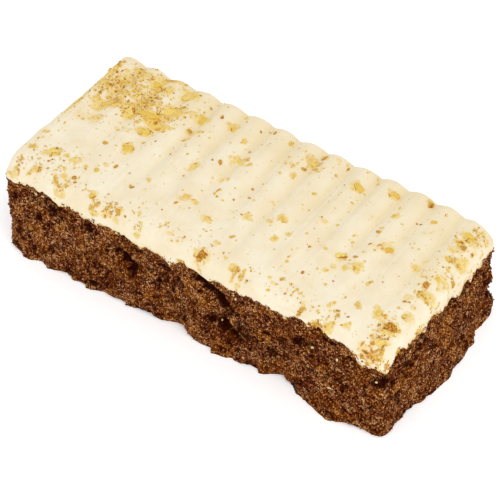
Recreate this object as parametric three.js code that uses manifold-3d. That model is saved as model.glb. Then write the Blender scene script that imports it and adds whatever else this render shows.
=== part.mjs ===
// A bar of carrot cake cut from a tray: a dark, crumbly sponge under a layer of cream cheese icing.
// The icing is combed into ridges that run across the bar, and chopped walnuts are pressed into it.
// Millimetres. +X runs along the bar, +Y across it to the back, +Z up. The bar stands on its base at z = 0.

import * as THREE from "three";
import { mergeVertices } from "three/addons/utils/BufferGeometryUtils.js";
import Module from "manifold-3d";

// Driving dimensions
const LENGTH = 120;
const WIDTH = 53.5;
const SPONGE_HEIGHT = 25.6;
const ICING_HEIGHT = 6.0;
const CORNER_RADIUS = 1.6;
const GAP = 0.3;

const HALF_LENGTH = LENGTH / 2;
const HALF_WIDTH = WIDTH / 2;
const ICING_TOP = SPONGE_HEIGHT + ICING_HEIGHT;

// Comb ridges. One groove lies at GROOVE_AT, and the others follow at the pitch.
const RIDGE_PITCH = 8.65;
const GROOVE_AT = 51.2;
const RIDGE_DEPTH = 1.4;
const RIDGE_WOBBLE = 0.3;
const GROOVE_SOFTNESS = 0.012;

// Where the comb pressed less: strength runs from least, at faint, to 1, at full
const FRONT_FADE = { faint: -22, full: 8, least: 0.12 };
const RIGHT_FADE = { faint: 56, full: 51, least: 0.4 };
const LEFT_FADE = { faint: -40, full: -22, least: 0.45, faintBefore: -6, fullBehind: 8 };

// The level of the icing: its fall from left to right, and its slow unevenness
const TOP_TILT = 0.006;
const TOP_SWELL = { size: 15, rise: 0.3 };

// How far the icing rolls over at each edge: reach in from the edge, and drop at the edge
const ROLL = {
  front: { reach: 5.5, drop: 3.4 },
  right: { reach: 4.2, drop: 2.6 },
  back: { reach: 2.2, drop: 1.0 },
  left: { reach: 1.6, drop: 0.8 },
};
const ROLL_FULLNESS = 0.98;
const SOFT_CORNERS = [
  { x: -HALF_LENGTH, y: -HALF_WIDTH, reach: 9, drop: 2.2 },
  { x: HALF_LENGTH, y: HALF_WIDTH, reach: 12, drop: 3.2 },
];
const LEAST_ICING = 1.3;

// Crumb relief of the cut walls
const CRAG = [
  { size: 8.5, rise: 0.55 },
  { size: 3.6, rise: 0.5 },
];
const TOP_CRAG = { share: 0.45, reach: 0.2 };
const SEAM_CRAG = { size: 6, rise: 0.3 };
const FOOT_BITE = { deep: 0.4, uneven: 0.7, tall: 2.2, size: 6 };
const WALL_ROWS = 9;
const ROW_CROWDING = 1.15;

// Hollows torn in the walls. Place is measured round the foot from the front left corner.
const FRONT = 0;
const RIGHT = LENGTH;
const BACK = RIGHT + WIDTH;
const LEFT = BACK + LENGTH;
const ROUND = LEFT + WIDTH;
const HOLLOWS = [
  { place: FRONT + 40, z: 16.8, wide: 4.2, tall: 1.9, lean: -0.5, deep: 2.6 },
  { place: FRONT + 68, z: 20.6, wide: 5.2, tall: 2.0, lean: -0.55, deep: 3.0 },
  { place: FRONT + 71, z: 10.5, wide: 4.6, tall: 2.2, lean: -0.35, deep: 2.4 },
  { place: FRONT + 14, z: 20.0, wide: 5.0, tall: 2.0, lean: -0.2, deep: 1.3 },
  { place: FRONT + 97, z: 19.8, wide: 2.2, tall: 1.7, lean: 0, deep: 1.6 },
  { place: RIGHT + 0.5, z: 18.4, wide: 2.9, tall: 2.2, lean: 0, deep: 2.8 },
  { place: RIGHT + 29, z: 20.2, wide: 4.6, tall: 1.8, lean: 0.45, deep: 1.8 },
  { place: RIGHT + 10, z: 16.6, wide: 3.2, tall: 2.4, lean: 0, deep: 1.3 },
  { place: BACK, z: 8.2, wide: 4.2, tall: 2.3, lean: 0, deep: 2.8 },
  { place: BACK + 30, z: 17.0, wide: 5.0, tall: 2.1, lean: 0.4, deep: 2.4 },
  { place: BACK + 84, z: 11.0, wide: 4.4, tall: 2.0, lean: -0.4, deep: 2.2 },
  { place: LEFT + 22, z: 15.5, wide: 4.6, tall: 2.0, lean: 0.5, deep: 2.0 },
];

// How far the foot of the walls stands out, by place round it
const FOOT = [
  [FRONT, 0.9], [FRONT + 6, 1.9], [FRONT + 13, 1.2], [FRONT + 44, 1.0], [FRONT + 55, -0.8],
  [FRONT + 62, 0.9], [FRONT + 78, 0.5], [FRONT + 88, -1.3], [FRONT + 105, 3.1], [RIGHT, 2.3],
  [RIGHT + 13, 2.7], [RIGHT + 17, 3.8], [RIGHT + 33, 4.4], [RIGHT + 39, 2.8], [RIGHT + 47, 1.9],
  [BACK, 2.6], [BACK + 12, 0.9], [BACK + 75, 1.3], [BACK + 105, 0.3], [LEFT + 25, 1.2],
  [LEFT + 44, 0.2], [ROUND, 0.9],
];

// The left wall's swell under the icing
const SWELL = { place: LEFT + 43, wide: 15, out: 0.9 };

// How far the sponge's top edge lies above its usual height, by place
const TOP_EDGE = [
  [FRONT, 1.3], [FRONT + 38, 0.2], [FRONT + 54, -0.8], [FRONT + 68, 0.1], [FRONT + 98, 2.3],
  [FRONT + 108, 0.8], [FRONT + 115, -1.5], [RIGHT + 12, -0.7], [RIGHT + 24, -1.5], [RIGHT + 34, -4.0],
  [RIGHT + 43, -2.0], [BACK + 30, 0.5], [BACK + 70, -0.5], [BACK + 100, 0.7], [LEFT + 30, -0.3],
  [ROUND, 1.3],
];

// Walnut chunks large enough to tell apart: centre, length and width, and turn in radians
const CHUNKS = [
  { x: 7.2, y: 20.4, long: 6.2, wide: 3.6, turn: -0.5 },
  { x: 41.0, y: 4.4, long: 4.6, wide: 3.4, turn: 0.3 },
  { x: -39.5, y: 9.6, long: 5.6, wide: 3.0, turn: 0.2 },
  { x: -45.0, y: 9.2, long: 5.0, wide: 3.0, turn: -0.3 },
  { x: -45.5, y: 21.6, long: 4.4, wide: 3.2, turn: 0.9 },
  { x: -34.8, y: 22.6, long: 4.0, wide: 2.6, turn: 1.3 },
  { x: -35.6, y: 15.0, long: 3.8, wide: 3.0, turn: 0.4 },
  { x: -26.4, y: 17.0, long: 4.4, wide: 3.0, turn: -0.4 },
  { x: -18.2, y: 19.2, long: 3.2, wide: 2.6, turn: 0.7 },
  { x: -9.4, y: 9.8, long: 3.8, wide: 2.8, turn: 0.8 },
  { x: -18.0, y: 1.2, long: 3.2, wide: 2.2, turn: 1.2 },
  { x: -36.8, y: 4.6, long: 3.6, wide: 2.4, turn: 0.5 },
  { x: -36.4, y: -3.8, long: 3.0, wide: 2.6, turn: 0.1 },
  { x: 22.4, y: 18.8, long: 3.4, wide: 2.6, turn: -0.6 },
  { x: 31.6, y: 22.2, long: 3.2, wide: 2.0, turn: 0.0 },
  { x: 36.6, y: 15.2, long: 2.2, wide: 2.0, turn: 0.2 },
  { x: 32.4, y: -4.8, long: 3.4, wide: 2.4, turn: 0.3 },
  { x: 38.4, y: -6.0, long: 2.8, wide: 2.0, turn: -0.9 },
  { x: -52.2, y: -16.8, long: 3.8, wide: 2.4, turn: 0.8 },
  { x: -45.2, y: -16.0, long: 2.8, wide: 2.2, turn: 0.5 },
  { x: -3.6, y: -14.0, long: 3.0, wide: 1.8, turn: -0.3 },
  { x: 2.8, y: -24.4, long: 3.4, wide: 2.8, turn: 0.4 },
  { x: 51.4, y: -16.2, long: 3.8, wide: 2.4, turn: -0.5 },
  { x: 56.4, y: -19.2, long: 3.6, wide: 3.0, turn: 1.1 },
  { x: 55.6, y: 19.6, long: 3.4, wide: 2.4, turn: 0.3 },
  { x: 56.6, y: -23.6, long: 3.0, wide: 2.4, turn: 0.2 },
];

// Handfuls of finer chopped nut: centre, spread along and across, and number of pieces
const HANDFULS = [
  { x: -52, y: 15, along: 5, across: 6, count: 20 },
  { x: -41, y: 14, along: 6, across: 7, count: 16 },
  { x: -50, y: -20, along: 7, across: 4, count: 8 },
  { x: -8, y: 12, along: 40, across: 9, count: 12 },
  { x: 10, y: -14, along: 38, across: 8, count: 12 },
  { x: 56.5, y: 2, along: 1.6, across: 14, count: 10 },
];
const PIECE_LENGTH = { least: 1.4, most: 2.4 };
const PIECE_WIDTH = { least: 0.6, most: 0.95 };
const EDGE_MARGIN = 1.4;

// Shape of a piece: thickness from its width, how uneven it is, and how far its middle lies above the icing
const NUT_THICKNESS = { share: 0.6, most: 1.5 };
const NUT_UNEVENNESS = 0.2;
const NUT_RISE = 0.12;
// An icosahedron's faces lie inside its sphere, so a piece of true size starts this much larger
const NUT_FILL = 1.1;

// Spacing of the surface grid: close to the edges first, then even
const EDGE_STEPS = [0, 0.5, 1.4, 2.8, 4.6];
const LINES_PER_RIDGE = 5;
const STEP_ACROSS = 3.4;

// A repeatable draw from 0 to 1 for whole numbers
function draw(i, j = 0, k = 0) {
  const wave = Math.sin(i * 127.1 + j * 311.7 + k * 74.7) * 43758.5453;
  return wave - Math.floor(wave);
}

const ease = (t) => t * t * (3 - 2 * t);
const clamp = (value, low, high) => Math.min(high, Math.max(low, value));
const between = (value, low, high) => ease(clamp((value - low) / (high - low), 0, 1));

// Smooth lumps of a given size, from -1 to 1: draws at the corners of a cubic lattice, eased between
function lumps(x, y, z, size) {
  const cell = [x, y, z].map((value) => Math.floor(value / size));
  const part = [x, y, z].map((value, axis) => ease(value / size - cell[axis]));
  let sum = 0;
  for (let corner = 0; corner < 8; corner++) {
    const bit = [corner & 1, (corner >> 1) & 1, corner >> 2];
    const weight = bit.reduce((all, on, axis) => all * (on ? part[axis] : 1 - part[axis]), 1);
    sum += weight * draw(cell[0] + bit[0], cell[1] + bit[1], cell[2] + bit[2]);
  }
  return 2 * sum - 1;
}

// A point of the plain rectangle moved so that the rectangle's corners become arcs
function roundCorner(x, y) {
  const coreX = clamp(x, CORNER_RADIUS - HALF_LENGTH, HALF_LENGTH - CORNER_RADIUS);
  const coreY = clamp(y, CORNER_RADIUS - HALF_WIDTH, HALF_WIDTH - CORNER_RADIUS);
  const dx = x - coreX;
  const dy = y - coreY;
  const reach = Math.hypot(dx, dy);
  if (reach === 0) return { x, y, outX: 0, outY: 0 };
  const keep = Math.max(Math.abs(dx), Math.abs(dy)) / reach;
  return { x: coreX + dx * keep, y: coreY + dy * keep, outX: dx / reach, outY: dy / reach };
}

// Distance round the foot from the front left corner
function placeOf(x, y) {
  const gaps = [y + HALF_WIDTH, HALF_LENGTH - x, HALF_WIDTH - y, x + HALF_LENGTH];
  const side = gaps.indexOf(Math.min(...gaps));
  const along = [x + HALF_LENGTH, y + HALF_WIDTH, HALF_LENGTH - x, HALF_WIDTH - y];
  return [FRONT, RIGHT, BACK, LEFT][side] + along[side];
}

// Shortest way round the foot between two places, with its sign
function wayRound(from, to) {
  const way = to - from;
  return way - ROUND * Math.round(way / ROUND);
}

// The value of a table at a place round the foot, eased between its entries
function readTable(table, place) {
  const next = Math.max(1, table.findIndex(([at]) => at >= place));
  const [[from, start], [to, end]] = [table[next - 1], table[next]];
  return start + (end - start) * between(place, from, to);
}

// Height at which the sponge ends and the icing begins
function seam(x, y) {
  const uneven = SEAM_CRAG.rise * lumps(x, y, 0, SEAM_CRAG.size);
  return SPONGE_HEIGHT + readTable(TOP_EDGE, placeOf(x, y)) + uneven;
}

// How far the cut wall stands out from the plain outline at a point
function wallRelief(x, y, z) {
  const place = placeOf(x, y);
  const low = clamp(1 - z / SPONGE_HEIGHT, 0, 1);
  const swell = SWELL.out * Math.exp(-((wayRound(SWELL.place, place) / SWELL.wide) ** 2));
  let out = readTable(FOOT, place) * low + swell * (1 - low) ** 0.5;
  const rough = TOP_CRAG.share + (1 - TOP_CRAG.share) * between(low, 0, TOP_CRAG.reach);
  for (const { size, rise } of CRAG) out += rough * rise * lumps(x, y, z, size);
  for (const hollow of HOLLOWS) {
    const along = wayRound(hollow.place, place);
    const up = z - hollow.z - hollow.lean * along;
    out -= hollow.deep * Math.exp(-((along / hollow.wide) ** 2) - (up / hollow.tall) ** 2);
  }
  const bite = FOOT_BITE.deep + FOOT_BITE.uneven * lumps(x, y, 0, FOOT_BITE.size);
  return out - bite * Math.max(0, 1 - z / FOOT_BITE.tall) ** 2;
}

// Grid lines from one edge to the other. Between the edge lines they keep in step with one given line.
function gridLines(half, step, given) {
  const inner = half - EDGE_STEPS.at(-1) - step / 2;
  const lines = EDGE_STEPS.map((gap) => gap - half);
  for (let n = Math.ceil((-inner - given) / step); given + n * step <= inner; n++) {
    lines.push(given + n * step);
  }
  return [...lines, ...EDGE_STEPS.toReversed().map((gap) => half - gap)];
}

const linesAlong = gridLines(HALF_LENGTH, RIDGE_PITCH / LINES_PER_RIDGE, GROOVE_AT);
const linesAcross = gridLines(HALF_WIDTH, STEP_ACROSS, 0);

// The grid's rim as one loop, anticlockwise from the front left corner
function rimLoop() {
  const last = { x: linesAlong.length - 1, y: linesAcross.length - 1 };
  const rim = [];
  for (let i = 0; i < last.x; i++) rim.push([i, 0]);
  for (let j = 0; j < last.y; j++) rim.push([last.x, j]);
  for (let i = last.x; i > 0; i--) rim.push([i, last.y]);
  for (let j = last.y; j > 0; j--) rim.push([0, j]);
  return rim;
}

const rim = rimLoop();
const rimPoints = rim.map(([i, j]) => roundCorner(linesAlong[i], linesAcross[j]));
const seamFaces = THREE.ShapeUtils.triangulateShape(
  rimPoints.map(({ x, y }) => new THREE.Vector2(x, y)),
  [],
);

// Closed geometry from points and triangles
function geometryOf(points, triangles) {
  const geometry = new THREE.BufferGeometry();
  geometry.setAttribute("position", new THREE.Float32BufferAttribute(points.flat(), 3));
  geometry.setIndex(triangles.flat());
  return geometry;
}

// Two triangles for each cell of a band between two loops of equal length
function band(lower, upper) {
  const faces = [];
  lower.forEach((a, i) => {
    const next = (i + 1) % lower.length;
    faces.push([a, lower[next], upper[next]]);
    faces.push([a, upper[next], upper[i]]);
  });
  return faces;
}

// A rim point pushed out by the relief of the wall at that height
function wallPoint(point, z) {
  const out = wallRelief(point.x, point.y, z);
  return [point.x + point.outX * out, point.y + point.outY * out, z];
}

// Sponge: a flat base, craggy cut walls, and a top that the icing lies on
function spongeGeometry() {
  const points = [];
  const loops = [];
  for (let row = 0; row <= WALL_ROWS; row++) {
    const share = (row / WALL_ROWS) ** ROW_CROWDING;
    loops.push(
      rimPoints.map((point) => {
        const z = share * seam(point.x, point.y);
        return points.push(wallPoint(point, z)) - 1;
      }),
    );
  }
  const faces = loops.slice(1).flatMap((loop, row) => band(loops[row], loop));
  for (const [a, b, c] of seamFaces) {
    faces.push([loops[0][c], loops[0][b], loops[0][a]]);
    faces.push([loops.at(-1)[a], loops.at(-1)[b], loops.at(-1)[c]]);
  }
  return geometryOf(points, faces);
}

// How much an edge roll takes off the height at a given distance in from the edge
function rolled({ reach, drop }, inward) {
  const share = clamp(1 - inward / reach, 0, 1);
  return drop * (1 - Math.sqrt(1 - ROLL_FULLNESS * share ** 2));
}

// Strength of the comb ridges, from 0 to 1
function combStrength(x, y) {
  const fade = ({ faint, full, least }, value) => least + (1 - least) * between(value, faint, full);
  const leftFront = between(y, LEFT_FADE.fullBehind, LEFT_FADE.faintBefore);
  const left = 1 - (1 - fade(LEFT_FADE, x)) * leftFront;
  return fade(FRONT_FADE, y) * fade(RIGHT_FADE, x) * left;
}

// Height of the combed icing
function icingTop(x, y) {
  const wobble = RIDGE_WOBBLE * lumps(x, y, 0, 2 * RIDGE_PITCH);
  const turn = (Math.PI * (x - GROOVE_AT + wobble)) / RIDGE_PITCH;
  const groove = 1 - Math.sqrt(Math.sin(turn) ** 2 + GROOVE_SOFTNESS);
  let taken =
    RIDGE_DEPTH * combStrength(x, y) * groove +
    rolled(ROLL.front, y + HALF_WIDTH) +
    rolled(ROLL.right, HALF_LENGTH - x) +
    rolled(ROLL.back, HALF_WIDTH - y) +
    rolled(ROLL.left, x + HALF_LENGTH);
  for (const corner of SOFT_CORNERS) {
    const away = clamp(Math.hypot(x - corner.x, y - corner.y) / corner.reach, 0, 1);
    taken += corner.drop * (1 - away) ** 2;
  }
  const level = ICING_TOP - TOP_TILT * x + TOP_SWELL.rise * lumps(x, y, 0, TOP_SWELL.size);
  return Math.max(level - taken, seam(x, y) + LEAST_ICING);
}

// Icing: combed top, short side wall, and an underside that follows the sponge
function icingGeometry() {
  const points = [];
  const columns = linesAlong.map((x) =>
    linesAcross.map((y) => {
      const flat = roundCorner(x, y);
      return points.push([flat.x, flat.y, icingTop(flat.x, flat.y)]) - 1;
    }),
  );
  const topLoop = rim.map(([i, j]) => columns[i][j]);
  rim.forEach(([i, j], n) => {
    const point = rimPoints[n];
    const out = wallRelief(point.x, point.y, seam(point.x, point.y));
    points[columns[i][j]][0] += point.outX * out;
    points[columns[i][j]][1] += point.outY * out;
  });
  const bottomLoop = rimPoints.map((point) => {
    const [x, y, z] = wallPoint(point, seam(point.x, point.y));
    return points.push([x, y, z + GAP]) - 1;
  });
  const faces = band(bottomLoop, topLoop);
  for (let i = 1; i < linesAlong.length; i++) {
    for (let j = 1; j < linesAcross.length; j++) {
      const [a, b, c, d] = [columns[i - 1][j - 1], columns[i][j - 1], columns[i][j], columns[i - 1][j]];
      faces.push([a, b, c]);
      faces.push([a, c, d]);
    }
  }
  for (const [a, b, c] of seamFaces) faces.push([bottomLoop[c], bottomLoop[b], bottomLoop[a]]);
  return geometryOf(points, faces);
}

// One piece of chopped walnut: a squashed, uneven icosahedron sunk into the icing
function nutGeometry({ x, y, long, wide, turn }, number) {
  const thick = Math.min(NUT_THICKNESS.share * wide, NUT_THICKNESS.most);
  const shape = new THREE.IcosahedronGeometry(0.5, 0);
  shape.deleteAttribute("normal");
  shape.deleteAttribute("uv");
  const nut = mergeVertices(shape);
  const place = nut.getAttribute("position");
  for (let i = 0; i < place.count; i++) {
    const grow = NUT_FILL * (1 + NUT_UNEVENNESS * (2 * draw(number, i) - 1));
    place.setXYZ(i, place.getX(i) * grow, place.getY(i) * grow, place.getZ(i) * grow);
  }
  nut.scale(long, wide, thick);
  nut.rotateZ(turn);
  return nut.translate(x, y, icingTop(x, y) + NUT_RISE * thick);
}

// One piece of a handful. Sums of two draws crowd the pieces towards the handful's middle.
function handfulPiece(handful, h, i) {
  const along = draw(i, h, 1) + draw(i, h, 2) - 1;
  const across = draw(i, h, 3) + draw(i, h, 4) - 1;
  const long = THREE.MathUtils.lerp(PIECE_LENGTH.least, PIECE_LENGTH.most, draw(i, h, 5) ** 2);
  const wide = long * THREE.MathUtils.lerp(PIECE_WIDTH.least, PIECE_WIDTH.most, draw(i, h, 6));
  const limitX = HALF_LENGTH - EDGE_MARGIN - long / 2;
  const limitY = HALF_WIDTH - EDGE_MARGIN - long / 2;
  const x = clamp(handful.x + 2 * handful.along * along, -limitX, limitX);
  const y = clamp(handful.y + 2 * handful.across * across, -limitY, limitY);
  return { x, y, long, wide, turn: Math.PI * draw(i, h, 7) };
}

// Every piece of nut: the large chunks, then the handfuls
function nutPieces() {
  const fine = HANDFULS.flatMap((handful, h) =>
    Array.from({ length: handful.count }, (_, i) => handfulPiece(handful, h, i)),
  );
  return [...CHUNKS, ...fine];
}

const wasm = await Module();
wasm.setup();

// A closed geometry as a solid that can be joined
function solidOf(geometry) {
  const merged = mergeVertices(geometry, 1e-4);
  return new wasm.Manifold(
    new wasm.Mesh({
      numProp: 3,
      vertProperties: new Float32Array(merged.attributes.position.array),
      triVerts: new Uint32Array(merged.index.array),
    }),
  );
}

// A joined solid back as a geometry
function geometryFrom(solid) {
  const mesh = solid.getMesh();
  const geometry = new THREE.BufferGeometry();
  geometry.setAttribute("position", new THREE.BufferAttribute(mesh.vertProperties, 3));
  geometry.setIndex(new THREE.BufferAttribute(mesh.triVerts, 1));
  return geometry;
}

// Icing with the nuts fused on
function nuttyIcingGeometry() {
  const nuts = nutPieces().map((piece, number) => solidOf(nutGeometry(piece, number)));
  return geometryFrom(nuts.reduce((joined, nut) => joined.add(nut), solidOf(icingGeometry())));
}

function namedMesh(name, geometry, colour, roughness) {
  const material = new THREE.MeshStandardMaterial({ color: colour, roughness, metalness: 0 });
  const mesh = new THREE.Mesh(geometry, material);
  mesh.name = name;
  return mesh;
}

const cake = new THREE.Group();
cake.add(namedMesh("sponge", spongeGeometry(), 0x6b4226, 0.9));
cake.add(namedMesh("icing", nuttyIcingGeometry(), 0xf4e8cb, 0.55));

// The middle of the bar's footprint becomes the origin
const footprint = new THREE.Box3().setFromObject(cake).getCenter(new THREE.Vector3());
cake.position.set(-footprint.x, -footprint.y, 0);

export default cake;
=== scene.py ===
# %% [markdown]
# # A bar of carrot cake
#
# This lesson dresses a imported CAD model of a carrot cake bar. The real bar is cut from a tray: a dark,
# crumbly sponge, a layer of cream cheese icing combed into ridges, and chopped walnuts pressed into it.
#
# The CAD model holds the size and the main forms. Here each of its two solids is replaced by a much finer
# surface of the same form, because crumb and comb marks live at half a millimetre. The shape functions are
# the ones the CAD model uses, so the two fit each other with nothing moved by hand.

# %% Libraries and the fixed frame
import math

import bpy
import numpy as np
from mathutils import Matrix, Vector


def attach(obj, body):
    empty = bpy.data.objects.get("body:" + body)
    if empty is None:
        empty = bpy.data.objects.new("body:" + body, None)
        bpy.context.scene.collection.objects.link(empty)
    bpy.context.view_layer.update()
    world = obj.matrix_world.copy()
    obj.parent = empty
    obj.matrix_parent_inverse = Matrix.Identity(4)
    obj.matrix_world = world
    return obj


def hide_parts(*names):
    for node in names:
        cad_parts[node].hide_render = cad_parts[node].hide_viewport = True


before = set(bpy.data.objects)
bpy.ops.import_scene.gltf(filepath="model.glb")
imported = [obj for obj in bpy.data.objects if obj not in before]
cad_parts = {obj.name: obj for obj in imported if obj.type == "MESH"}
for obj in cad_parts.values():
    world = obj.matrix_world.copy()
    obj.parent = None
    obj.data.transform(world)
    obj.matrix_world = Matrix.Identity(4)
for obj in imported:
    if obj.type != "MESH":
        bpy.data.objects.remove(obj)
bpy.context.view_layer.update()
MM = 0.001

# %% [markdown]
# ## The camera comes first
#
# The bar was photographed from above its front right corner with a long lens, so its edges are nearly
# parallel. A long focal length at a fair distance gives the same calm perspective. The shift slides the
# picture without turning the camera, which keeps the upright edges upright.

# %% Camera at the photograph's angle
AZIMUTH, ELEVATION = math.radians(34.6), math.radians(45.4)
DISTANCE, FOCAL, SENSOR = 0.650, 174.4, 36.0
AIM_HEIGHT = 0.016
SHIFT = (0.0052, -0.0302)
# The middle of the plain block lies this far from the middle of the spreading foot, in millimetres
BLOCK_SHIFT = (-1.434, 0.695)


def direction(azimuth, elevation):
    """Unit vector from the object towards a viewer at these angles; azimuth 0 looks along +Y."""
    flat = math.cos(elevation)
    return np.array([math.sin(azimuth) * flat, -math.cos(azimuth) * flat, math.sin(elevation)])


def aim(obj, place, target):
    """Puts an object at a place, its -Z axis towards the target."""
    obj.location = place
    obj.rotation_mode = "QUATERNION"
    obj.rotation_quaternion = Vector(np.subtract(target, place)).to_track_quat("-Z", "Y")


camera = bpy.data.objects.new("camera", bpy.data.cameras.new("camera"))
camera.data.lens, camera.data.sensor_width = FOCAL, SENSOR
camera.data.shift_x, camera.data.shift_y = SHIFT
camera.data.clip_start, camera.data.clip_end = 0.01, 10.0
target = np.array([BLOCK_SHIFT[0] * MM, BLOCK_SHIFT[1] * MM, AIM_HEIGHT])
aim(camera, target + DISTANCE * direction(AZIMUTH, ELEVATION), target)
bpy.context.collection.objects.link(camera)
bpy.context.scene.camera = camera
print("camera at", [round(v, 3) for v in camera.location])

# %% [markdown]
# ## Chance that repeats
#
# Cake is uneven, but the lesson has to give the same bar every time. So chance comes from a formula: the
# fraction left over from a large sine. It gives the same value for the same whole numbers, here and in the
# CAD model, and works on whole arrays at once. Eased between the corners of a cubic lattice, the same draws
# give soft lumps of any size.

# %% Draws, lumps and grains
# A drawn turn goes up to this many radians, about a full circle
FULL_TURN = 6.3


def draw(i, j=0.0, k=0.0):
    """A repeatable draw from 0 to 1: the fraction of a large multiple of a sine of the whole numbers."""
    wave = np.sin(i * 127.1 + j * 311.7 + k * 74.7) * 43758.5453
    return wave - np.floor(wave)


def ease(t):
    """The curve 3t2 - 2t3, flat at both ends."""
    return t * t * (3 - 2 * t)


def between(value, low, high):
    """0 at low and 1 at high, eased; low may be the larger."""
    return ease(np.clip((value - low) / (high - low), 0, 1))


def ranged(ends, share):
    """The value at a share of the way between two ends."""
    return ends[0] + (ends[1] - ends[0]) * share


def bell(u, v=0.0):
    """A bell curve over one or two directions: 1 in the middle, about a third at a distance of 1."""
    return np.exp(-(u**2) - v**2)


def lumps(x, y, z, size):
    """Soft lumps from -1 to 1: draws at the corners of a cubic lattice, eased between in x, y and z."""
    cells, parts = [], []
    for value in (x, y, z):
        scaled = np.asarray(value, float) / size
        cells.append(np.floor(scaled))
        parts.append(ease(scaled - cells[-1]))
    total = 0.0
    for corner in range(8):
        on = [corner >> axis & 1 for axis in range(3)]
        weight = math.prod(parts[a] if on[a] else 1 - parts[a] for a in range(3))
        total = total + weight * draw(*(cells[a] + on[a] for a in range(3)))
    return 2 * total - 1


def grains(x, y, z, size):
    """Crumb grains: one seed point is drawn in each cube of a lattice, and every point belongs to its
    nearest seed. Returns the dome of that grain, 1 at its seed and 0 where it meets the next, and a draw
    that all the points of one grain share."""
    point = np.stack(np.broadcast_arrays(x, y, z), -1) / size
    cell = np.floor(point)
    first = np.full(point.shape[:-1], 9.0)
    second = first.copy()
    tone = np.zeros_like(first)
    for step in np.ndindex(3, 3, 3):
        home = cell + np.array(step) - 1
        i, j, k = home[..., 0], home[..., 1], home[..., 2]
        seed = home + np.stack([draw(i, j, k), draw(j, k, i + 7), draw(k, i, j + 13)], -1)
        gap = np.linalg.norm(point - seed, axis=-1)
        nearer = gap < first
        second = np.where(nearer, first, np.minimum(second, gap))
        tone = np.where(nearer, draw(i + 3, j + 5, k + 9), tone)
        first = np.where(nearer, gap, first)
    return np.clip(second - first, 0, 1) ** 0.6, tone


print("a draw", round(float(draw(1, 2, 3)), 6), "a lump", round(float(lumps(1.0, 2.0, 3.0, 8.5)), 4))

# %% [markdown]
# ## The plain block and what bends it
#
# The bar is 120 mm long and 53.5 mm wide, with 25.6 mm of sponge and 6 mm of icing. A place round its foot is
# one number, measured from the front left corner: along the front, the right end, the back and the left end.
# Two short tables say how far the foot stands out and where the sponge's ragged top edge runs, and a third
# lists the hollows torn by the knife. They repeat the CAD model's values, so the fine surface keeps its form.
# The foot's values were set and rounded with measurements of the photographed outline in view, and
# the back and left ones are guessed, because those sides don't show.

# %% Sizes of the bar, in millimetres
LENGTH, WIDTH, SPONGE_HEIGHT, ICING_HEIGHT = 120.0, 53.5, 25.6, 6.0
CORNER_RADIUS = 1.6
HALF_LENGTH, HALF_WIDTH = LENGTH / 2, WIDTH / 2
FRONT, RIGHT = 0.0, LENGTH
BACK = RIGHT + WIDTH
LEFT = BACK + LENGTH
ROUND = LEFT + WIDTH

FOOT = [
    (FRONT, 0.9), (FRONT + 6, 1.9), (FRONT + 13, 1.2), (FRONT + 44, 1.0), (FRONT + 55, -0.8),
    (FRONT + 62, 0.9), (FRONT + 78, 0.5), (FRONT + 88, -1.3), (FRONT + 105, 3.1), (RIGHT, 2.3),
    (RIGHT + 13, 2.7), (RIGHT + 17, 3.8), (RIGHT + 33, 4.4), (RIGHT + 39, 2.8), (RIGHT + 47, 1.9),
    (BACK, 2.6), (BACK + 12, 0.9), (BACK + 75, 1.3), (BACK + 105, 0.3), (LEFT + 25, 1.2),
    (LEFT + 44, 0.2), (ROUND, 0.9),
]
TOP_EDGE = [
    (FRONT, 1.3), (FRONT + 38, 0.2), (FRONT + 54, -0.8), (FRONT + 68, 0.1), (FRONT + 98, 2.3),
    (FRONT + 108, 0.8), (FRONT + 115, -1.5), (RIGHT + 12, -0.7), (RIGHT + 24, -1.5), (RIGHT + 34, -4.0),
    (RIGHT + 43, -2.0), (BACK + 30, 0.5), (BACK + 70, -0.5), (BACK + 100, 0.7), (LEFT + 30, -0.3),
    (ROUND, 1.3),
]
# Place, height, half width, half height, lean and depth of each hollow
HOLLOWS = [
    (FRONT + 40, 16.8, 4.2, 1.9, -0.5, 2.6), (FRONT + 68, 20.6, 5.2, 2.0, -0.55, 3.0),
    (FRONT + 71, 10.5, 4.6, 2.2, -0.35, 2.4), (FRONT + 14, 20.0, 5.0, 2.0, -0.2, 1.3),
    (FRONT + 97, 19.8, 2.2, 1.7, 0.0, 1.6), (RIGHT + 0.5, 18.4, 2.9, 2.2, 0.0, 2.8),
    (RIGHT + 29, 20.2, 4.6, 1.8, 0.45, 1.8), (RIGHT + 10, 16.6, 3.2, 2.4, 0.0, 1.3),
    (BACK, 8.2, 4.2, 2.3, 0.0, 2.8), (BACK + 30, 17.0, 5.0, 2.1, 0.4, 2.4),
    (BACK + 84, 11.0, 4.4, 2.0, -0.4, 2.2), (LEFT + 22, 15.5, 4.6, 2.0, 0.5, 2.0),
]
# Crags of the walls, and of the sponge's top edge: height and size. A share of the crags is left at the top
# edge, and they reach their full height over a share of the wall
CRAGS, SEAM_CRAG = ((0.55, 8.5), (0.5, 3.6)), (0.3, 6)
TOP_CRAG, TOP_CRAG_REACH = 0.45, 0.2
# The swell under the icing at the left end, and the bite along the foot
SWELL_AT, SWELL_WIDE, SWELL_OUT = LEFT + 43, 15, 0.9
BITE_DEEP, BITE_UNEVEN, BITE_SIZE, BITE_TALL = 0.4, 0.7, 6, 2.2
print(len(HOLLOWS), "hollows, foot spread", max(out for _, out in FOOT), "mm at most")

# %% [markdown]
# Each function below takes whole arrays of points and gives whole arrays back. The wall's relief is a sum:
# the spread of the foot, a swell under the icing, two sizes of soft crag, minus the hollows and minus a
# small bite along the very foot, where crumbs have come away. Where soft lumps move a surface, the number in
# front is their rise and the last one their size, both in millimetres. A number added to z picks a fresh
# pattern, so that no two are alike.

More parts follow.
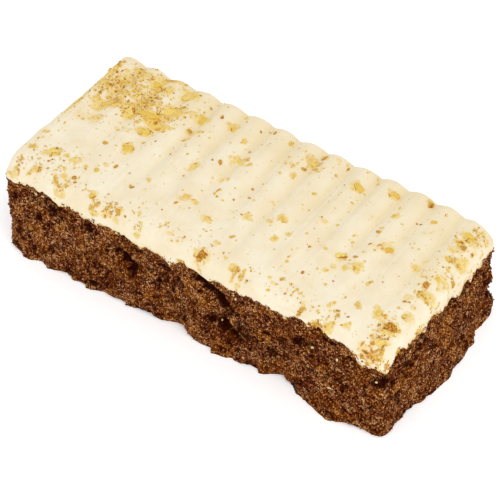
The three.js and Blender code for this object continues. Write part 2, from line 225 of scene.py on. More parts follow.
# %% The block's form as functions
def round_corner(x, y):
    """A point of the plain rectangle, moved so that its corners become arcs, and the outward direction.
    Past the corner's core the offset keeps its larger side as its length."""
    core_x = np.clip(x, CORNER_RADIUS - HALF_LENGTH, HALF_LENGTH - CORNER_RADIUS)
    core_y = np.clip(y, CORNER_RADIUS - HALF_WIDTH, HALF_WIDTH - CORNER_RADIUS)
    dx, dy = x - core_x, y - core_y
    reach = np.maximum(np.hypot(dx, dy), 1e-9)
    side = np.maximum(abs(dx), abs(dy))
    keep = side / reach
    return core_x + dx * keep, core_y + dy * keep, dx / reach, dy / reach, side / CORNER_RADIUS


def place_of(x, y):
    """Distance round the foot from the front left corner, on the side that is nearest."""
    gaps = np.stack([y + HALF_WIDTH, HALF_LENGTH - x, HALF_WIDTH - y, x + HALF_LENGTH])
    ahead, across = x + HALF_LENGTH, y + HALF_WIDTH
    along = np.stack([FRONT + ahead, RIGHT + across, LEFT - ahead, ROUND - across])
    return np.take_along_axis(along, gaps.argmin(0)[None], 0)[0]


def way_round(start, place):
    """Shortest way round the foot from start to each place, with its sign."""
    way = place - start
    return way - ROUND * np.round(way / ROUND)


def read_table(table, place):
    """The value of a table at each place, eased between its entries."""
    at, value = np.array(table).T
    i = np.clip(np.searchsorted(at, place, side="left"), 1, len(at) - 1)
    return value[i - 1] + (value[i] - value[i - 1]) * between(place, at[i - 1], at[i])


def seam(x, y):
    """Height at which the sponge ends and the icing begins: usual height, plus table, plus soft lumps."""
    rise, size = SEAM_CRAG
    return SPONGE_HEIGHT + read_table(TOP_EDGE, place_of(x, y)) + rise * lumps(x, y, 0 * x, size)


def wall_relief(x, y, z):
    """How far the cut wall stands out: foot, swell and crags, less the hollows and the bite at the foot."""
    place = place_of(x, y)
    low = np.clip(1 - z / SPONGE_HEIGHT, 0, 1)
    out = read_table(FOOT, place) * low
    out += SWELL_OUT * bell(way_round(SWELL_AT, place) / SWELL_WIDE) * (1 - low) ** 0.5
    rough = ranged((TOP_CRAG, 1), between(low, 0, TOP_CRAG_REACH))
    out += rough * sum(rise * lumps(x, y, z, size) for rise, size in CRAGS)
    for start, height, wide, tall, lean, deep in HOLLOWS:
        along = way_round(start, place)
        out -= deep * bell(along / wide, (z - height - lean * along) / tall)
    bite = BITE_DEEP + BITE_UNEVEN * lumps(x, y, 0 * x, BITE_SIZE)
    return out - bite * np.maximum(0, 1 - z / BITE_TALL) ** 2


x_line = np.linspace(-40, 40, 5)
front_wall = wall_relief(x_line, 0 * x_line - HALF_WIDTH, 0 * x_line + 12)
print("the front wall, 12 mm up, stands out", front_wall.round(2))

# %% [markdown]
# ## Icing in numbers
#
# The comb leaves broad rounded ridges with narrow grooves between, which is the shape of a sine with its
# sign taken away. The comb pressed less at the front edge, on the left third and on the band at the right
# end. At each edge the icing rolls over like a quarter of an ellipse.

# %% The icing's height
RIDGE_PITCH, GROOVE_AT, RIDGE_DEPTH = 8.65, 51.2, 1.4
ROLLS = {"front": (5.5, 3.4), "right": (4.2, 2.6), "back": (2.2, 1.0), "left": (1.6, 0.8)}
# A quarter ellipse is cut a little short, so that the roll's slope stays finite at the very edge
ROLL_SHARE = 0.98
# Corners that sank: x, y, reach and drop
SOFT_CORNERS = [(-HALF_LENGTH, -HALF_WIDTH, 9, 2.2), (HALF_LENGTH, HALF_WIDTH, 12, 3.2)]
# Where the comb pressed less: the strength that is left, and where it is least and full again. The left
# third is weak at the front only
COMB_FRONT, COMB_RIGHT, COMB_LEFT = (0.12, -22, 8), (0.4, 56, 51), (0.45, -40, -22)
COMB_LEFT_FADE = (8, -6)
GROOVE_WOBBLE, GROOVE_SOFT = 0.3, 0.012
# The level sinks towards the right, rises and falls in broad lumps, and keeps a least thickness
LEVEL_SLOPE, LEVEL_LUMP, LEAST_ICING = 0.006, (0.3, 15), 1.3


def rolled(edge, inward):
    """How much an edge roll takes off: a quarter ellipse of the given reach and drop."""
    reach, drop = ROLLS[edge]
    share = np.clip(1 - inward / reach, 0, 1)
    return drop * (1 - np.sqrt(1 - ROLL_SHARE * share**2))


def fade(value, rest, low, high):
    """A strength that grows from a rest at low to 1 at high."""
    return ranged((rest, 1), between(value, low, high))


def comb_strength(x, y):
    """Strength of the ridges from 0 to 1: the product of three fades."""
    left = 1 - (1 - fade(x, *COMB_LEFT)) * between(y, *COMB_LEFT_FADE)
    return fade(y, *COMB_FRONT) * fade(x, *COMB_RIGHT) * left


def groove_share(x, y):
    """1 at the bottom of a groove and 0 on a crest: a sine without its sign, turned over, a little wobbly."""
    wobble = GROOVE_WOBBLE * lumps(x, y, 0 * x, 2 * RIDGE_PITCH)
    turn = math.pi * (x - GROOVE_AT + wobble) / RIDGE_PITCH
    return 1 - np.sqrt(np.sin(turn) ** 2 + GROOVE_SOFT)


def icing_top(x, y):
    """Height of the icing: its level, less the grooves, the edge rolls and the soft corners."""
    taken = RIDGE_DEPTH * comb_strength(x, y) * groove_share(x, y)
    taken = taken + rolled("front", y + HALF_WIDTH) + rolled("right", HALF_LENGTH - x)
    taken = taken + rolled("back", HALF_WIDTH - y) + rolled("left", x + HALF_LENGTH)
    for corner_x, corner_y, reach, drop in SOFT_CORNERS:
        away = np.clip(np.hypot(x - corner_x, y - corner_y) / reach, 0, 1)
        taken = taken + drop * (1 - away) ** 2
    rise, size = LEVEL_LUMP
    level = SPONGE_HEIGHT + ICING_HEIGHT - LEVEL_SLOPE * x + rise * lumps(x, y, 0 * x, size)
    return np.maximum(level - taken, seam(x, y) + LEAST_ICING)


print("icing height across the middle", icing_top(x_line, 0 * x_line).round(2))

# %% [markdown]
# The comb and the knife leave fine marks on the icing, and the knife drags its lower edge into a ragged lip
# on the crumb. Some points of the lip lie where the real bar has them, and soft lumps make the rest uneven.

# %% Fine marks and the ragged lip
def knife_marks(x, y):
    """Fine relief of the spread icing: streaks drawn out along y, thin lines that the comb's teeth cut, and
    smears near the front and the right end. A thin line lies where soft lumps change their sign."""
    streaks = 0.09 * lumps(x, y / 16, 0 * x, 0.9) + 0.07 * lumps(x, y / 9, 0 * x + 4, 2.2)
    streaks = streaks - 0.16 * (1 - abs(lumps(x, y / 14, 0 * x + 8, 3.4))) ** 5
    front, end = between(y, -15, -23), between(x, 49, 54)
    smears = 0.16 * lumps(x * 0.8 + y * 0.3, y, 0 * x, 2.6) + 0.08 * lumps(x, y, 0 * x + 9, 1.0)
    daubs = 0.3 * lumps(x, y / 2, 0 * x + 12, 1.8) + 0.12 * lumps(x, y, 0 * x + 14, 1.0)
    return streaks + smears * (0.25 + 0.75 * np.maximum(front, end)) + daubs * end * 0.6


# Points of the ragged lip that reach furthest, down over the crumb or up from it: place, half width, drop
LIP_POINTS = [
    (FRONT + 10, 3.0, -1.0), (FRONT + 17, 2.4, 0.7), (FRONT + 27, 2.6, 0.9), (FRONT + 53.4, 1.2, 2.2),
    (FRONT + 57.5, 1.4, -1.6), (FRONT + 65, 1.6, 1.0), (FRONT + 88, 3.0, 0.4), (FRONT + 101, 1.4, -1.4),
    (FRONT + 114, 2.4, 1.5), (RIGHT + 1.5, 1.6, 1.0), (RIGHT + 6.5, 1.6, -1.3), (RIGHT + 11, 1.8, 0.6),
    (RIGHT + 18, 1.2, 1.7), (RIGHT + 22, 1.6, -0.9), (RIGHT + 29.8, 1.1, 1.4), (RIGHT + 28, 0.9, -0.9),
    (RIGHT + 41.4, 1.1, 2.2), (BACK + 20, 2.0, 1.2), (BACK + 52, 1.6, -1.0), (BACK + 88, 2.2, 1.3),
    (LEFT + 14, 1.8, 1.2), (LEFT + 35, 1.6, -0.9),
]


def lip_height(x, y):
    """The lip's ragged edge: the seam, less the named points and droops of three sizes. The root of the
    widest droop makes it step."""
    place = place_of(x, y)
    points = sum(drop * bell(way_round(p, place) / half) for p, half, drop in LIP_POINTS)
    wide = lumps(x, y, 0 * x + 3, 4.2)
    droop = 0.7 * np.sign(wide) * abs(wide) ** 0.6 + 0.5 * lumps(x, y, 0 * x + 6, 1.7)
    return seam(x, y) - 0.2 - points - droop - 0.5 * lumps(x, y, 0 * x + 9, 0.9)


print("lip height along the front", lip_height(x_line, 0 * x_line - HALF_WIDTH).round(2))

# %% [markdown]
# ## From arrays to a mesh
#
# A closed surface is a set of rings or a grid, and its faces follow one pattern: each cell joins a point to
# the next one along and to the two above. The helpers below make the faces as whole arrays, write them into
# a mesh, move it from the block's middle to the frame's origin, and add any values that a material reads.

# %% Mesh helpers
def ring_faces(rings):
    """Quads between neighbouring rings of point numbers, given as an array (rings, points a ring)."""
    lower, upper = rings[:-1], rings[1:]
    return np.stack([lower, np.roll(lower, -1, 1), np.roll(upper, -1, 1), upper], -1).reshape(-1, 4)


def cap_faces(pole, ring, up):
    """Triangles from one pole to a ring that runs anticlockwise seen from above."""
    ahead = np.roll(ring, -1)
    first, second = (ring, ahead) if up else (ahead, ring)
    return np.stack([np.full_like(ring, pole), first, second], -1)


def make_piece(name, points, face_sets, node, material, values, smooth=True):
    """A piece from points in millimetres (n, 3) and sets of faces; values hold one number a point."""
    mesh = bpy.data.meshes.new(name)
    placed = (points + [*BLOCK_SHIFT, 0]) * MM
    sizes = np.concatenate([np.full(len(faces), faces.shape[1]) for faces in face_sets])
    corners = np.concatenate([faces.ravel() for faces in face_sets]).astype(np.int32)
    mesh.vertices.add(len(placed))
    mesh.vertices.foreach_set("co", placed.astype(np.float32).ravel())
    mesh.loops.add(len(corners))
    mesh.loops.foreach_set("vertex_index", corners)
    mesh.polygons.add(len(sizes))
    mesh.polygons.foreach_set("loop_start", (np.cumsum(sizes) - sizes).astype(np.int32))
    mesh.polygons.foreach_set("use_smooth", np.full(len(sizes), smooth))
    for key, value in values.items():
        layer = mesh.attributes.new(key, "FLOAT", "POINT")
        layer.data.foreach_set("value", np.asarray(value, np.float32).ravel())
    mesh.update(calc_edges=True)
    mesh.validate()
    mesh.materials.append(material)
    piece = bpy.data.objects.new(name, mesh)
    bpy.context.collection.objects.link(piece)
    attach(piece, "root")
    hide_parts(node)
    low, high = placed.min(0) / MM, placed.max(0) / MM
    print(name, (sizes - 2).sum(), "triangles, from", low.round(1), "to", high.round(1))


print("two rings of eight points make", len(ring_faces(np.arange(16).reshape(2, 8))), "faces")

# %% [markdown]
# ## Materials from nodes
#
# Each finish is a small network of nodes. One function adds a node, sets its options, and fills or links its
# inputs. Colours are written as on a colour picker, and one function turns them to the linear values that
# the renderer adds up. Patterns read Object coordinates, which are metres, so a scale is one over a size.
# A Mix node keeps a pair of inputs for each kind of data: numbers are inputs 2 and 3 and output 0, colours
# are inputs 6 and 7 and output 2. A Map Range node takes the value, the range it has and the range it gets.

# %% Material helpers
def linear(colour):
    """An sRGB hex colour as linear red, green, blue and alpha."""
    parts = [int(colour[i : i + 2], 16) / 255 for i in (1, 3, 5)]
    return (*(v / 12.92 if v <= 0.04045 else ((v + 0.055) / 1.055) ** 2.4 for v in parts), 1.0)


def add(tree, kind, inputs=(), ramp=(), out=None, **settings):
    """Adds a node: settings are its options, inputs its values or links by name, number or order, ramp its
    colour stops. Gives back the node, or the one output that is asked for."""
    node = tree.nodes.new("ShaderNode" + kind)
    for key, value in settings.items():
        setattr(node, key, value)
    for key, value in inputs.items() if isinstance(inputs, dict) else enumerate(inputs):
        if isinstance(value, bpy.types.NodeSocket):
            tree.links.new(value, node.inputs[key])
        else:
            node.inputs[key].default_value = value
    if ramp:
        stops = node.color_ramp.elements
        while len(stops) < len(ramp):
            stops.new(1.0)
        for stop, (position, colour) in zip(stops, ramp):
            stop.position, stop.color = position, linear(colour)
    return node if out is None else node.outputs[out]


def new_material(name):
    """An empty node material, its tree and its Object coordinates."""
    material = bpy.data.materials.new(name)
    material.use_nodes = True
    tree = material.node_tree
    tree.nodes.clear()
    return material, tree, add(tree, "TexCoord", out="Object")


print("middle grey in linear light", round(linear("#808080")[0], 3))

# %% [markdown]
# ## Carrot cake crumb
#
# The crumb is dark brown from sugar and spice, with lighter tan grains where the starch shows, and pores
# in deep shade. Shreds of carrot baked into it show as warmer patches of a few millimetres. Moist grains
# give small glints, partly from their lower roughness and partly painted in as the palest grain colour.
# Three scales of colour make it: broad zones of a darker and a paler bake, one tone a grain, and a finer
# cell pattern that breaks the grains up. Values on the mesh paint shade into pores, hollows and the seams
# between grains: they turn a deep red-brown, as light that enters them hardly comes back.

# %% Crumb material
# Cells and grit are about as fine as one and a half and one pixel of the picture, the finest that shows
CRUMB_CELL, CRUMB_GRIT, ZONE_SIZE = 0.38 * MM, 0.24 * MM, 4 * MM
# Share of the cells in the tone of a grain, share of the grit in both, and how far a zone moves the tone
CELL_SHARE, GRIT_SHARE, ZONE_SHIFT = 0.7, 0.42, 0.095
# The palest stops of both ramps stand partly for pale starch and partly for painted glints of moist grains
CRUMB_TONES = [(0.3, "#280400"), (0.42, "#551c05"), (0.52, "#834020"), (0.62, "#b67245"), (0.725, "#fac38b")]
CARROT_TONES = [(0.29, "#4d1602"), (0.43, "#863f0c"), (0.56, "#bb6a26"), (0.715, "#f9b763")]
# Painted shade for seams, pores and hollows: not black, as what little light comes out of them is deep
# red-brown
PAINTED_SHADE_COLOUR = "#280500"


def crumb_material():
    """Grain, cell and grit tones, moved by a broad zone, pick a brown from a ramp, or an orange-brown where
    carrot lies and in warm zones. Seams, pores and hollows get painted shade: they turn to the shade colour."""
    material, tree, place = new_material("baked_cake_crumb")
    names = ("tone", "pore", "depth", "carrot", "grain")
    tone, pore, depth, carrot, grain = (add(tree, "Attribute", out="Fac", attribute_name=n) for n in names)
    cells = {"Vector": place, "Scale": 1 / CRUMB_CELL, "Randomness": 1.0}
    cell = add(tree, "TexVoronoi", cells)
    edge = add(tree, "TexVoronoi", cells, out="Distance", feature="DISTANCE_TO_EDGE")
    cell_parts = add(tree, "SeparateColor", (cell.outputs["Color"],)).outputs
    grit = add(tree, "TexNoise", {"Vector": place, "Scale": 1 / CRUMB_GRIT, "Detail": 2.0}, out="Fac")
    zone = add(tree, "TexNoise", {"Vector": place, "Scale": 1 / ZONE_SIZE, "Detail": 3.0}, out="Color")
    zone_parts = add(tree, "SeparateColor", (zone,)).outputs
    mixed = add(tree, "Mix", {0: CELL_SHARE, 2: tone, 3: cell_parts["Red"]}, out=0)
    fine = add(tree, "Mix", {0: GRIT_SHARE, 2: mixed, 3: grit}, out=0)
    drift = add(tree, "MapRange", (zone_parts["Red"], 0.3, 0.7, -ZONE_SHIFT, ZONE_SHIFT), out=0)
    shade = add(tree, "Math", (fine, drift), out=0, operation="ADD")
    browns, oranges = (add(tree, "ValToRGB", (shade,), tones, out=0) for tones in (CRUMB_TONES, CARROT_TONES))
    warm_zone = add(tree, "MapRange", (zone_parts["Green"], 0.46, 0.62, 0.0, 0.85), out=0)
    warm_cell = add(tree, "MapRange", (cell_parts["Blue"], 0.5, 1.0, 0.0, 0.8), out=0)
    warm = add(tree, "Math", (warm_zone, warm_cell), out=0, operation="MAXIMUM")
    share = add(tree, "Math", (carrot, warm), out=0, operation="MAXIMUM")
    colour = add(tree, "Mix", {0: share, 6: browns, 7: oranges}, out=2, data_type="RGBA")
    # Painted shade: cell edges, grain seams, pores and hollows turn towards the shade colour
    for darkening in (
        (edge, 0.0, 0.16, 0.85, 0.0), (grain, 0.0, 0.6, 0.6, 0.0),
        (pore, 0.0, 1.0, 0.0, 0.88), (depth, 0.05, 0.75, 0.0, 0.96),
    ):
        cover = add(tree, "MapRange", darkening, out=0)
        colour = add(tree, "Mix", {0: cover, 6: colour, 7: linear(PAINTED_SHADE_COLOUR)}, out=2, data_type="RGBA")
    gloss = add(tree, "MapRange", (cell_parts["Red"], 0.7, 1.0, 0.8, 0.4), out=0)
    height = add(tree, "Mix", {0: 0.35, 2: cell.outputs["Distance"], 3: grit}, out=0)
    relief = {"Strength": 0.9, "Distance": 0.25 * MM, "Height": height}
    shader = add(tree, "BsdfPrincipled", {
        "Base Color": colour, "Roughness": gloss, "Specular IOR Level": 0.03, "IOR": 1.4,
        "Normal": add(tree, "Bump", relief, out="Normal", invert=True),
    }, out="BSDF")
    add(tree, "OutputMaterial", {"Surface": shader})
    return material


crumb_finish = crumb_material()
print(crumb_finish.name, len(crumb_finish.node_tree.nodes), "nodes")

# %% [markdown]
# ## The sponge
#
# Cut carrot cake shows grains of crumb a little over half a millimetre across, in clumps of a few
# millimetres, with dark pores where the air was. The wall is one surface wrapped round the block, a function
# of the way round and the height. On top of the CAD form it gets clumps and grains: each grain is a small
# dome, and the seams between grains become pores. Small torn pits, too low for the CAD model, come from a
# table on the two cut faces that show best and from draws on the others. The depth is kept as a value on
# each point, so that the material can paint shade into pores, pits and hollows.

# %% Marks on the cut faces
# Points of the wall lie this far apart; rings of its flat ends, as shares of the way out
WALL_STEP, CAP_SHARES = 0.33, (0.97, 0.6, 0.2)
# Grains and clumps: their size, and how far their domes stand out; the depth of a pore, and how far all of
# it is set in, so that the domes end near the CAD wall
GRAIN_SIZE, CLUMP_SIZE, GRAIN_RISE, CLUMP_RISE = 0.72, 2.6, 0.27, 0.4
PORE_DEEP, CRUMB_IN = 0.55, 0.4
# The wall runs on behind the icing, so that no gap opens where the lip is ragged, but stays below its top
WALL_OVER, WALL_UNDER = 0.8, 0.7
# Warm patches of baked carrot: place, height and radius
CARROT = [
    (FRONT + 37.5, 12.5, 3.2), (FRONT + 24.5, 17.0, 2.4), (FRONT + 47, 8.5, 2.0), (FRONT + 54.5, 8.0, 2.2),
    (FRONT + 65.5, 16.4, 3.2), (FRONT + 75, 20.0, 2.2), (FRONT + 70, 2.6, 3.0), (FRONT + 91.5, 19.2, 1.8),
    (FRONT + 84.5, 15.0, 1.8), (FRONT + 12, 6.5, 1.8), (FRONT + 102, 4.5, 2.2), (FRONT + 118, 2.5, 3.0),
    (RIGHT + 9, 13.7, 2.2), (RIGHT + 38, 16.8, 2.0), (RIGHT + 41, 3.0, 2.4), (RIGHT + 49, 9.0, 2.2),
    (BACK + 25, 9.0, 2.8), (BACK + 48, 19.0, 2.2), (BACK + 70, 14.0, 2.6), (BACK + 100, 6.0, 2.4),
    (LEFT + 12, 7.0, 2.6), (LEFT + 38, 18.0, 2.2),
]
# Torn pits: place, height, half width and half height
PITS = [
    (FRONT + 14.5, 21.5, 2.4, 1.5), (FRONT + 17, 24.6, 2.8, 1.5), (FRONT + 10, 16.3, 1.6, 1.2),
    (FRONT + 27, 21.6, 2.2, 1.6), (FRONT + 2.5, 20.7, 1.2, 1.6), (FRONT + 4, 11.7, 0.9, 0.9),
    (FRONT + 32.5, 17.0, 1.2, 0.8), (FRONT + 28, 2.2, 2.6, 1.3), (FRONT + 63, 23.2, 2.4, 1.2),
    (FRONT + 71, 13.3, 1.5, 1.7), (FRONT + 66.5, 10.7, 2.2, 1.3), (FRONT + 73.3, 8.6, 1.8, 1.4),
    (FRONT + 72.5, 4.5, 1.6, 1.0), (FRONT + 93.7, 19.4, 1.5, 1.3), (FRONT + 98.5, 16.4, 1.0, 1.0),
    (FRONT + 110, 22.4, 2.0, 1.2), (FRONT + 104, 24.6, 2.0, 1.0), (FRONT + 84, 22.0, 1.4, 1.0),
    (FRONT + 43, 22.4, 1.3, 0.9), (FRONT + 50, 15.0, 1.0, 1.4), (FRONT + 41.4, 14.2, 1.4, 2.5),
    (FRONT + 37, 18.3, 2.6, 1.1), (FRONT + 70.8, 18.0, 1.8, 1.2), (RIGHT + 32, 21.2, 1.9, 1.2),
    (RIGHT + 26.5, 19.2, 1.6, 1.2), (RIGHT + 22, 14.6, 1.4, 2.0), (RIGHT + 9.5, 17.4, 1.6, 1.3),
    (RIGHT + 4, 15.3, 0.8, 2.2), (RIGHT + 49.5, 17.0, 1.2, 1.4), (RIGHT + 48, 6.5, 1.6, 1.1),
]
# Teeth of the torn foot: each leaps out at its place and falls back over its length; place, reach, length
TEETH = [
    (FRONT + 5, 0.6, 6), (FRONT + 13, 0.7, 7), (FRONT + 21.5, 0.4, 4), (FRONT + 26.5, 1.1, 5.5),
    (FRONT + 39.5, 0.5, 6), (FRONT + 68, 1.6, 6), (FRONT + 74.5, 0.8, 7), (FRONT + 82.4, 1.0, 6),
    (FRONT + 89.5, 0.7, 3), (FRONT + 94.5, 1.1, 5), (FRONT + 105.2, 0.3, 5), (BACK + 16, 1.0, 6),
    (BACK + 40, 0.9, 7), (BACK + 58, 1.1, 5), (BACK + 84, 0.8, 6), (BACK + 99, 1.1, 7), (LEFT + 16, 0.9, 6),
    (LEFT + 36, 1.0, 5),
]
# A tooth leaps out over this distance, and the teeth die away up to this height
TOOTH_RISE, TEETH_TALL = 0.9, 4
# Pits drawn on the back and left walls: count, least height and span of it, least half width and span of
# it; and the depth of every pit
DRAWN_PITS, PIT_UP, PIT_WIDE, PIT_DEPTH = 34, (3, 20), (0.9, 1.5), 0.75
# Painted shade in a hollow starts where the wall lies this far in, and is full this much further in; a torn
# pit counts as this share of a full hollow
HOLLOW_START, HOLLOW_REACH, TORN_SHARE = 0.5, 1.4, 0.75
# Crumb that was torn is rougher than crumb that was cut, by this share of the broken lumps
TORN_ROUGH = 0.6
print(len(CARROT), "patches of carrot,", len(PITS), "pits and", len(TEETH), "teeth")

# %% [markdown]
# A pit is a bell curve in place and height. The crumb has two sizes of grain, each a dome round its seed,
# and pores where soft lumps are high.

# %% Pits and crumb
def rectangle_point(way):
    """Point of the plain rectangle at a distance round it from the front left corner."""
    side = np.searchsorted([RIGHT, BACK, LEFT], way, side="right")
    zero = 0 * way
    right_y, back_x = way - RIGHT - HALF_WIDTH, HALF_LENGTH - (way - BACK)
    x = np.choose(side, [way - HALF_LENGTH, zero + HALF_LENGTH, back_x, zero - HALF_LENGTH])
    y = np.choose(side, [zero - HALF_WIDTH, right_y, zero + HALF_WIDTH, HALF_WIDTH - (way - LEFT)])
    return x, y


def all_pits():
    """The table's pits, then drawn ones of like size on the back and left walls."""
    i = np.arange(DRAWN_PITS)
    place = BACK + (ROUND - BACK) * draw(i, 71)
    height = PIT_UP[0] + PIT_UP[1] * draw(i, 72)
    wide = PIT_WIDE[0] + PIT_WIDE[1] * draw(i, 73) ** 2
    return np.concatenate([PITS, np.stack([place, height, wide, wide * (0.6 + 0.5 * draw(i, 74))], -1)])


def pit_share(place, z):
    """How far each point lies in a pit, from 0 to 1: the sum of bell curves round the middle of each."""
    total = 0 * z
    for start, height, wide, tall in all_pits():
        total += bell(way_round(start, place) / wide, (z - height) / tall)
    return np.clip(total, 0, 1)


def crumb(x, y, z):
    """Relief of the crumb: domed clumps and grains less pores. Also each point's tone, dome and pore."""
    bend = 0.7 * lumps(x, y, z, 2.0)
    clump, _ = grains(x + bend, y - bend, z + bend, CLUMP_SIZE)
    grain, tone = grains(x, y, z, GRAIN_SIZE)
    pore = between(lumps(x, y, z + 30, 1.9) + 0.5 * lumps(x, y, z + 60, 0.9), 0.3, 0.85)
    relief = CLUMP_RISE * clump + GRAIN_RISE * grain - PORE_DEEP * pore - CRUMB_IN
    return relief, tone, grain, pore


print(len(all_pits()), "pits; grains stand out by", GRAIN_RISE, "mm and pores go in by", PORE_DEEP, "mm")

# %% [markdown]
# The wall adds all of this to the CAD form, square to the block: the teeth of the torn foot, the pits, and
# the crumb. It also works out the values that the material reads, so that colour and form agree.

# %% The cut wall
def wall_points(way, height):
    """Points of the wall from the way round and a height, the outward direction there, and the values that
    the material reads: tone, share of carrot, and grain, pore and depth of the hollows, which it paints as
    shade."""
    x, y = rectangle_point(way)
    rx, ry, out_x, out_y, _ = round_corner(x, y)
    rx, ry, z = np.broadcast_arrays(rx, ry, height)
    place = place_of(rx, ry)
    coarse = wall_relief(rx, ry, z)
    ragged = 0.5 * lumps(rx, ry, z, 1.6)
    pits = pit_share(place, z)
    pit = between(pits + 0.45 * ragged, 0.15, 0.75)
    fine, tone, grain, pore = crumb(rx + coarse * out_x, ry + coarse * out_y, z)
    leap = ((reach, way_round(p, place), length) for p, reach, length in TEETH)
    teeth = sum(reach * (between(d, -TOOTH_RISE, 0) - between(d, 0, length)) for reach, d, length in leap)
    teeth = (teeth + 0.6 * lumps(rx, ry, 0 * z + 40, 2.4)) * np.clip(1 - z / TEETH_TALL, 0, 1)
    uneven = 0.6 * lumps(rx, ry, z, 2.2)
    plain = read_table(FOOT, place) * np.clip(1 - z / SPONGE_HEIGHT, 0, 1)
    broken = 0.7 * lumps(rx, ry, z + 15, 1.1) + 0.5 * lumps(rx, ry, z + 18, 0.7)
    depth = np.clip((plain - coarse - HOLLOW_START + uneven + broken) / HOLLOW_REACH, 0, 1)
    torn = between(pits + 0.4 * broken, 0.25, 0.75)
    depth = np.clip(np.maximum(depth, TORN_SHARE * torn) + (1 - TORN_SHARE) * depth * torn, 0, 1)
    out = coarse + teeth - PIT_DEPTH * pit + TORN_ROUGH * depth * broken + fine * np.clip(z / 0.8, 0.5, 1)
    carrot = sum(bell(way_round(p, place) / r, (z - h) / r) for p, h, r in CARROT)
    points = np.stack([rx + out * out_x, ry + out * out_y, z], -1)
    outward = np.stack(np.broadcast_arrays(out_x, out_y, 0 * z), -1)
    carrot = between(carrot + ragged + 0.4 * uneven, 0.2, 0.9)
    return points, outward, {"tone": tone, "grain": grain, "pore": pore, "depth": depth, "carrot": carrot}


probe, _, _ = wall_points(x_line + HALF_LENGTH, 12.0)
print("the crumbed front, 12 mm up, stands out", (-HALF_WIDTH - probe[:, 1]).round(2))

# %% [markdown]
# The piece is a stack of rings: some from the middle of the base outwards, then the wall's rows, and some
# back to the middle of the top, where the icing hides them. A single point closes each end.

# %% Sponge surface
def sponge_surface():
    """Rings from the middle of the base, up the wall and to the middle of the top."""
    way = np.arange(round(ROUND / WALL_STEP)) * WALL_STEP
    share = np.linspace(0, 1, round(SPONGE_HEIGHT / WALL_STEP) + 1)[:, None]
    rim_x, rim_y = rectangle_point(way)
    edge = np.maximum(seam(rim_x, rim_y), lip_height(rim_x, rim_y)) + WALL_OVER
    under_icing = icing_top(*round_corner(rim_x, rim_y)[:2]) - WALL_UNDER
    wall, _, values = wall_points(way, share * np.minimum(edge, under_icing))
    shares = np.array(CAP_SHARES)[:, None, None]
    base = wall[0] * ([1, 1, 0] * shares[::-1])
    top = wall[-1] * ([1, 1, 0] * shares + [0, 0, 1])
    rims = ((len(shares), len(shares)), (0, 0))
    return np.concatenate([base, wall, top]), {key: np.pad(v, rims, "edge") for key, v in values.items()}


def closed_rings(rings, values):
    """Points, face sets and values of a surface of rings that is closed by a pole at each end."""
    numbers = np.arange(rings.shape[0] * rings.shape[1]).reshape(rings.shape[:2])
    poles = np.stack([rings[0].mean(0), rings[-1].mean(0)])
    points = np.concatenate([rings.reshape(-1, 3), poles])
    quads = ring_faces(numbers)
    low_cap = cap_faces(numbers.size, numbers[0], up=False)
    high_cap = cap_faces(numbers.size + 1, numbers[-1], up=True)
    ends = {key: np.append(v, [v[0].mean(), v[-1].mean()]) for key, v in values.items()}
    return points, [quads, low_cap, high_cap], ends


points, faces, values = closed_rings(*sponge_surface())
make_piece("sponge_crumb", points, faces, "sponge", crumb_finish, values)

# %% [markdown]
# ## Cream cheese icing
#
# The icing is whipped butter, sugar and cream cheese: warm ivory, satin, and soft enough that light goes a
# millimetre or two into it. So its material scatters light under the surface. Painted shade, darker and
# yellower than the ivory, lies along the grooves, and the same tint grows towards the back. The icing is
# yellower where walnut oil has stained it, and crumbs of nut show through it as soft spots.

# %% Icing material
# Size of the slow mottle, of the drag marks of the knife and of the grain of crushed walnut
MOTTLE_SIZE, ICING_DRAG, NUT_GRAIN = 7 * MM, 0.5 * MM, 0.7 * MM
# The edges of the spots wander by SPOT_BEND at most, in waves of this size
WOBBLE_SIZE, SPOT_BEND = 0.9 * MM, 1.1 * MM
IVORY = [(0.35, "#f2e2c0"), (0.65, "#f7ecd2")]
# Painted shade along the grooves, darker and yellower than the ivory; the same colour tints the back
GROOVE_SHADE_TINT = "#ead7aa"
NUT_FLESH = [(0.35, "#e2b744"), (0.65, "#f2d775")]
NUT_SKIN = [(0.34, "#86460e"), (0.46, "#bb781f"), (0.58, "#d79e38"), (0.68, "#e6bb56")]
# Spots seen through the icing, large to small: size in millimetres, what full stain adds to a cell's luck,
# the luck that a spot needs, how soft its edge is, its strength and its colour
ICING_SPOTS = [
    (2.6, 0.5, 0.66, 0.3, 0.7, "#ebcc7a"), (1.3, 0.5, 0.62, 0.2, 0.75, "#e2bd66"),
    (0.9, 0.4, 0.84, 0.12, 0.85, "#cf9434"), (0.62, 0.32, 0.9, 0.1, 0.9, "#a35e18"),
]


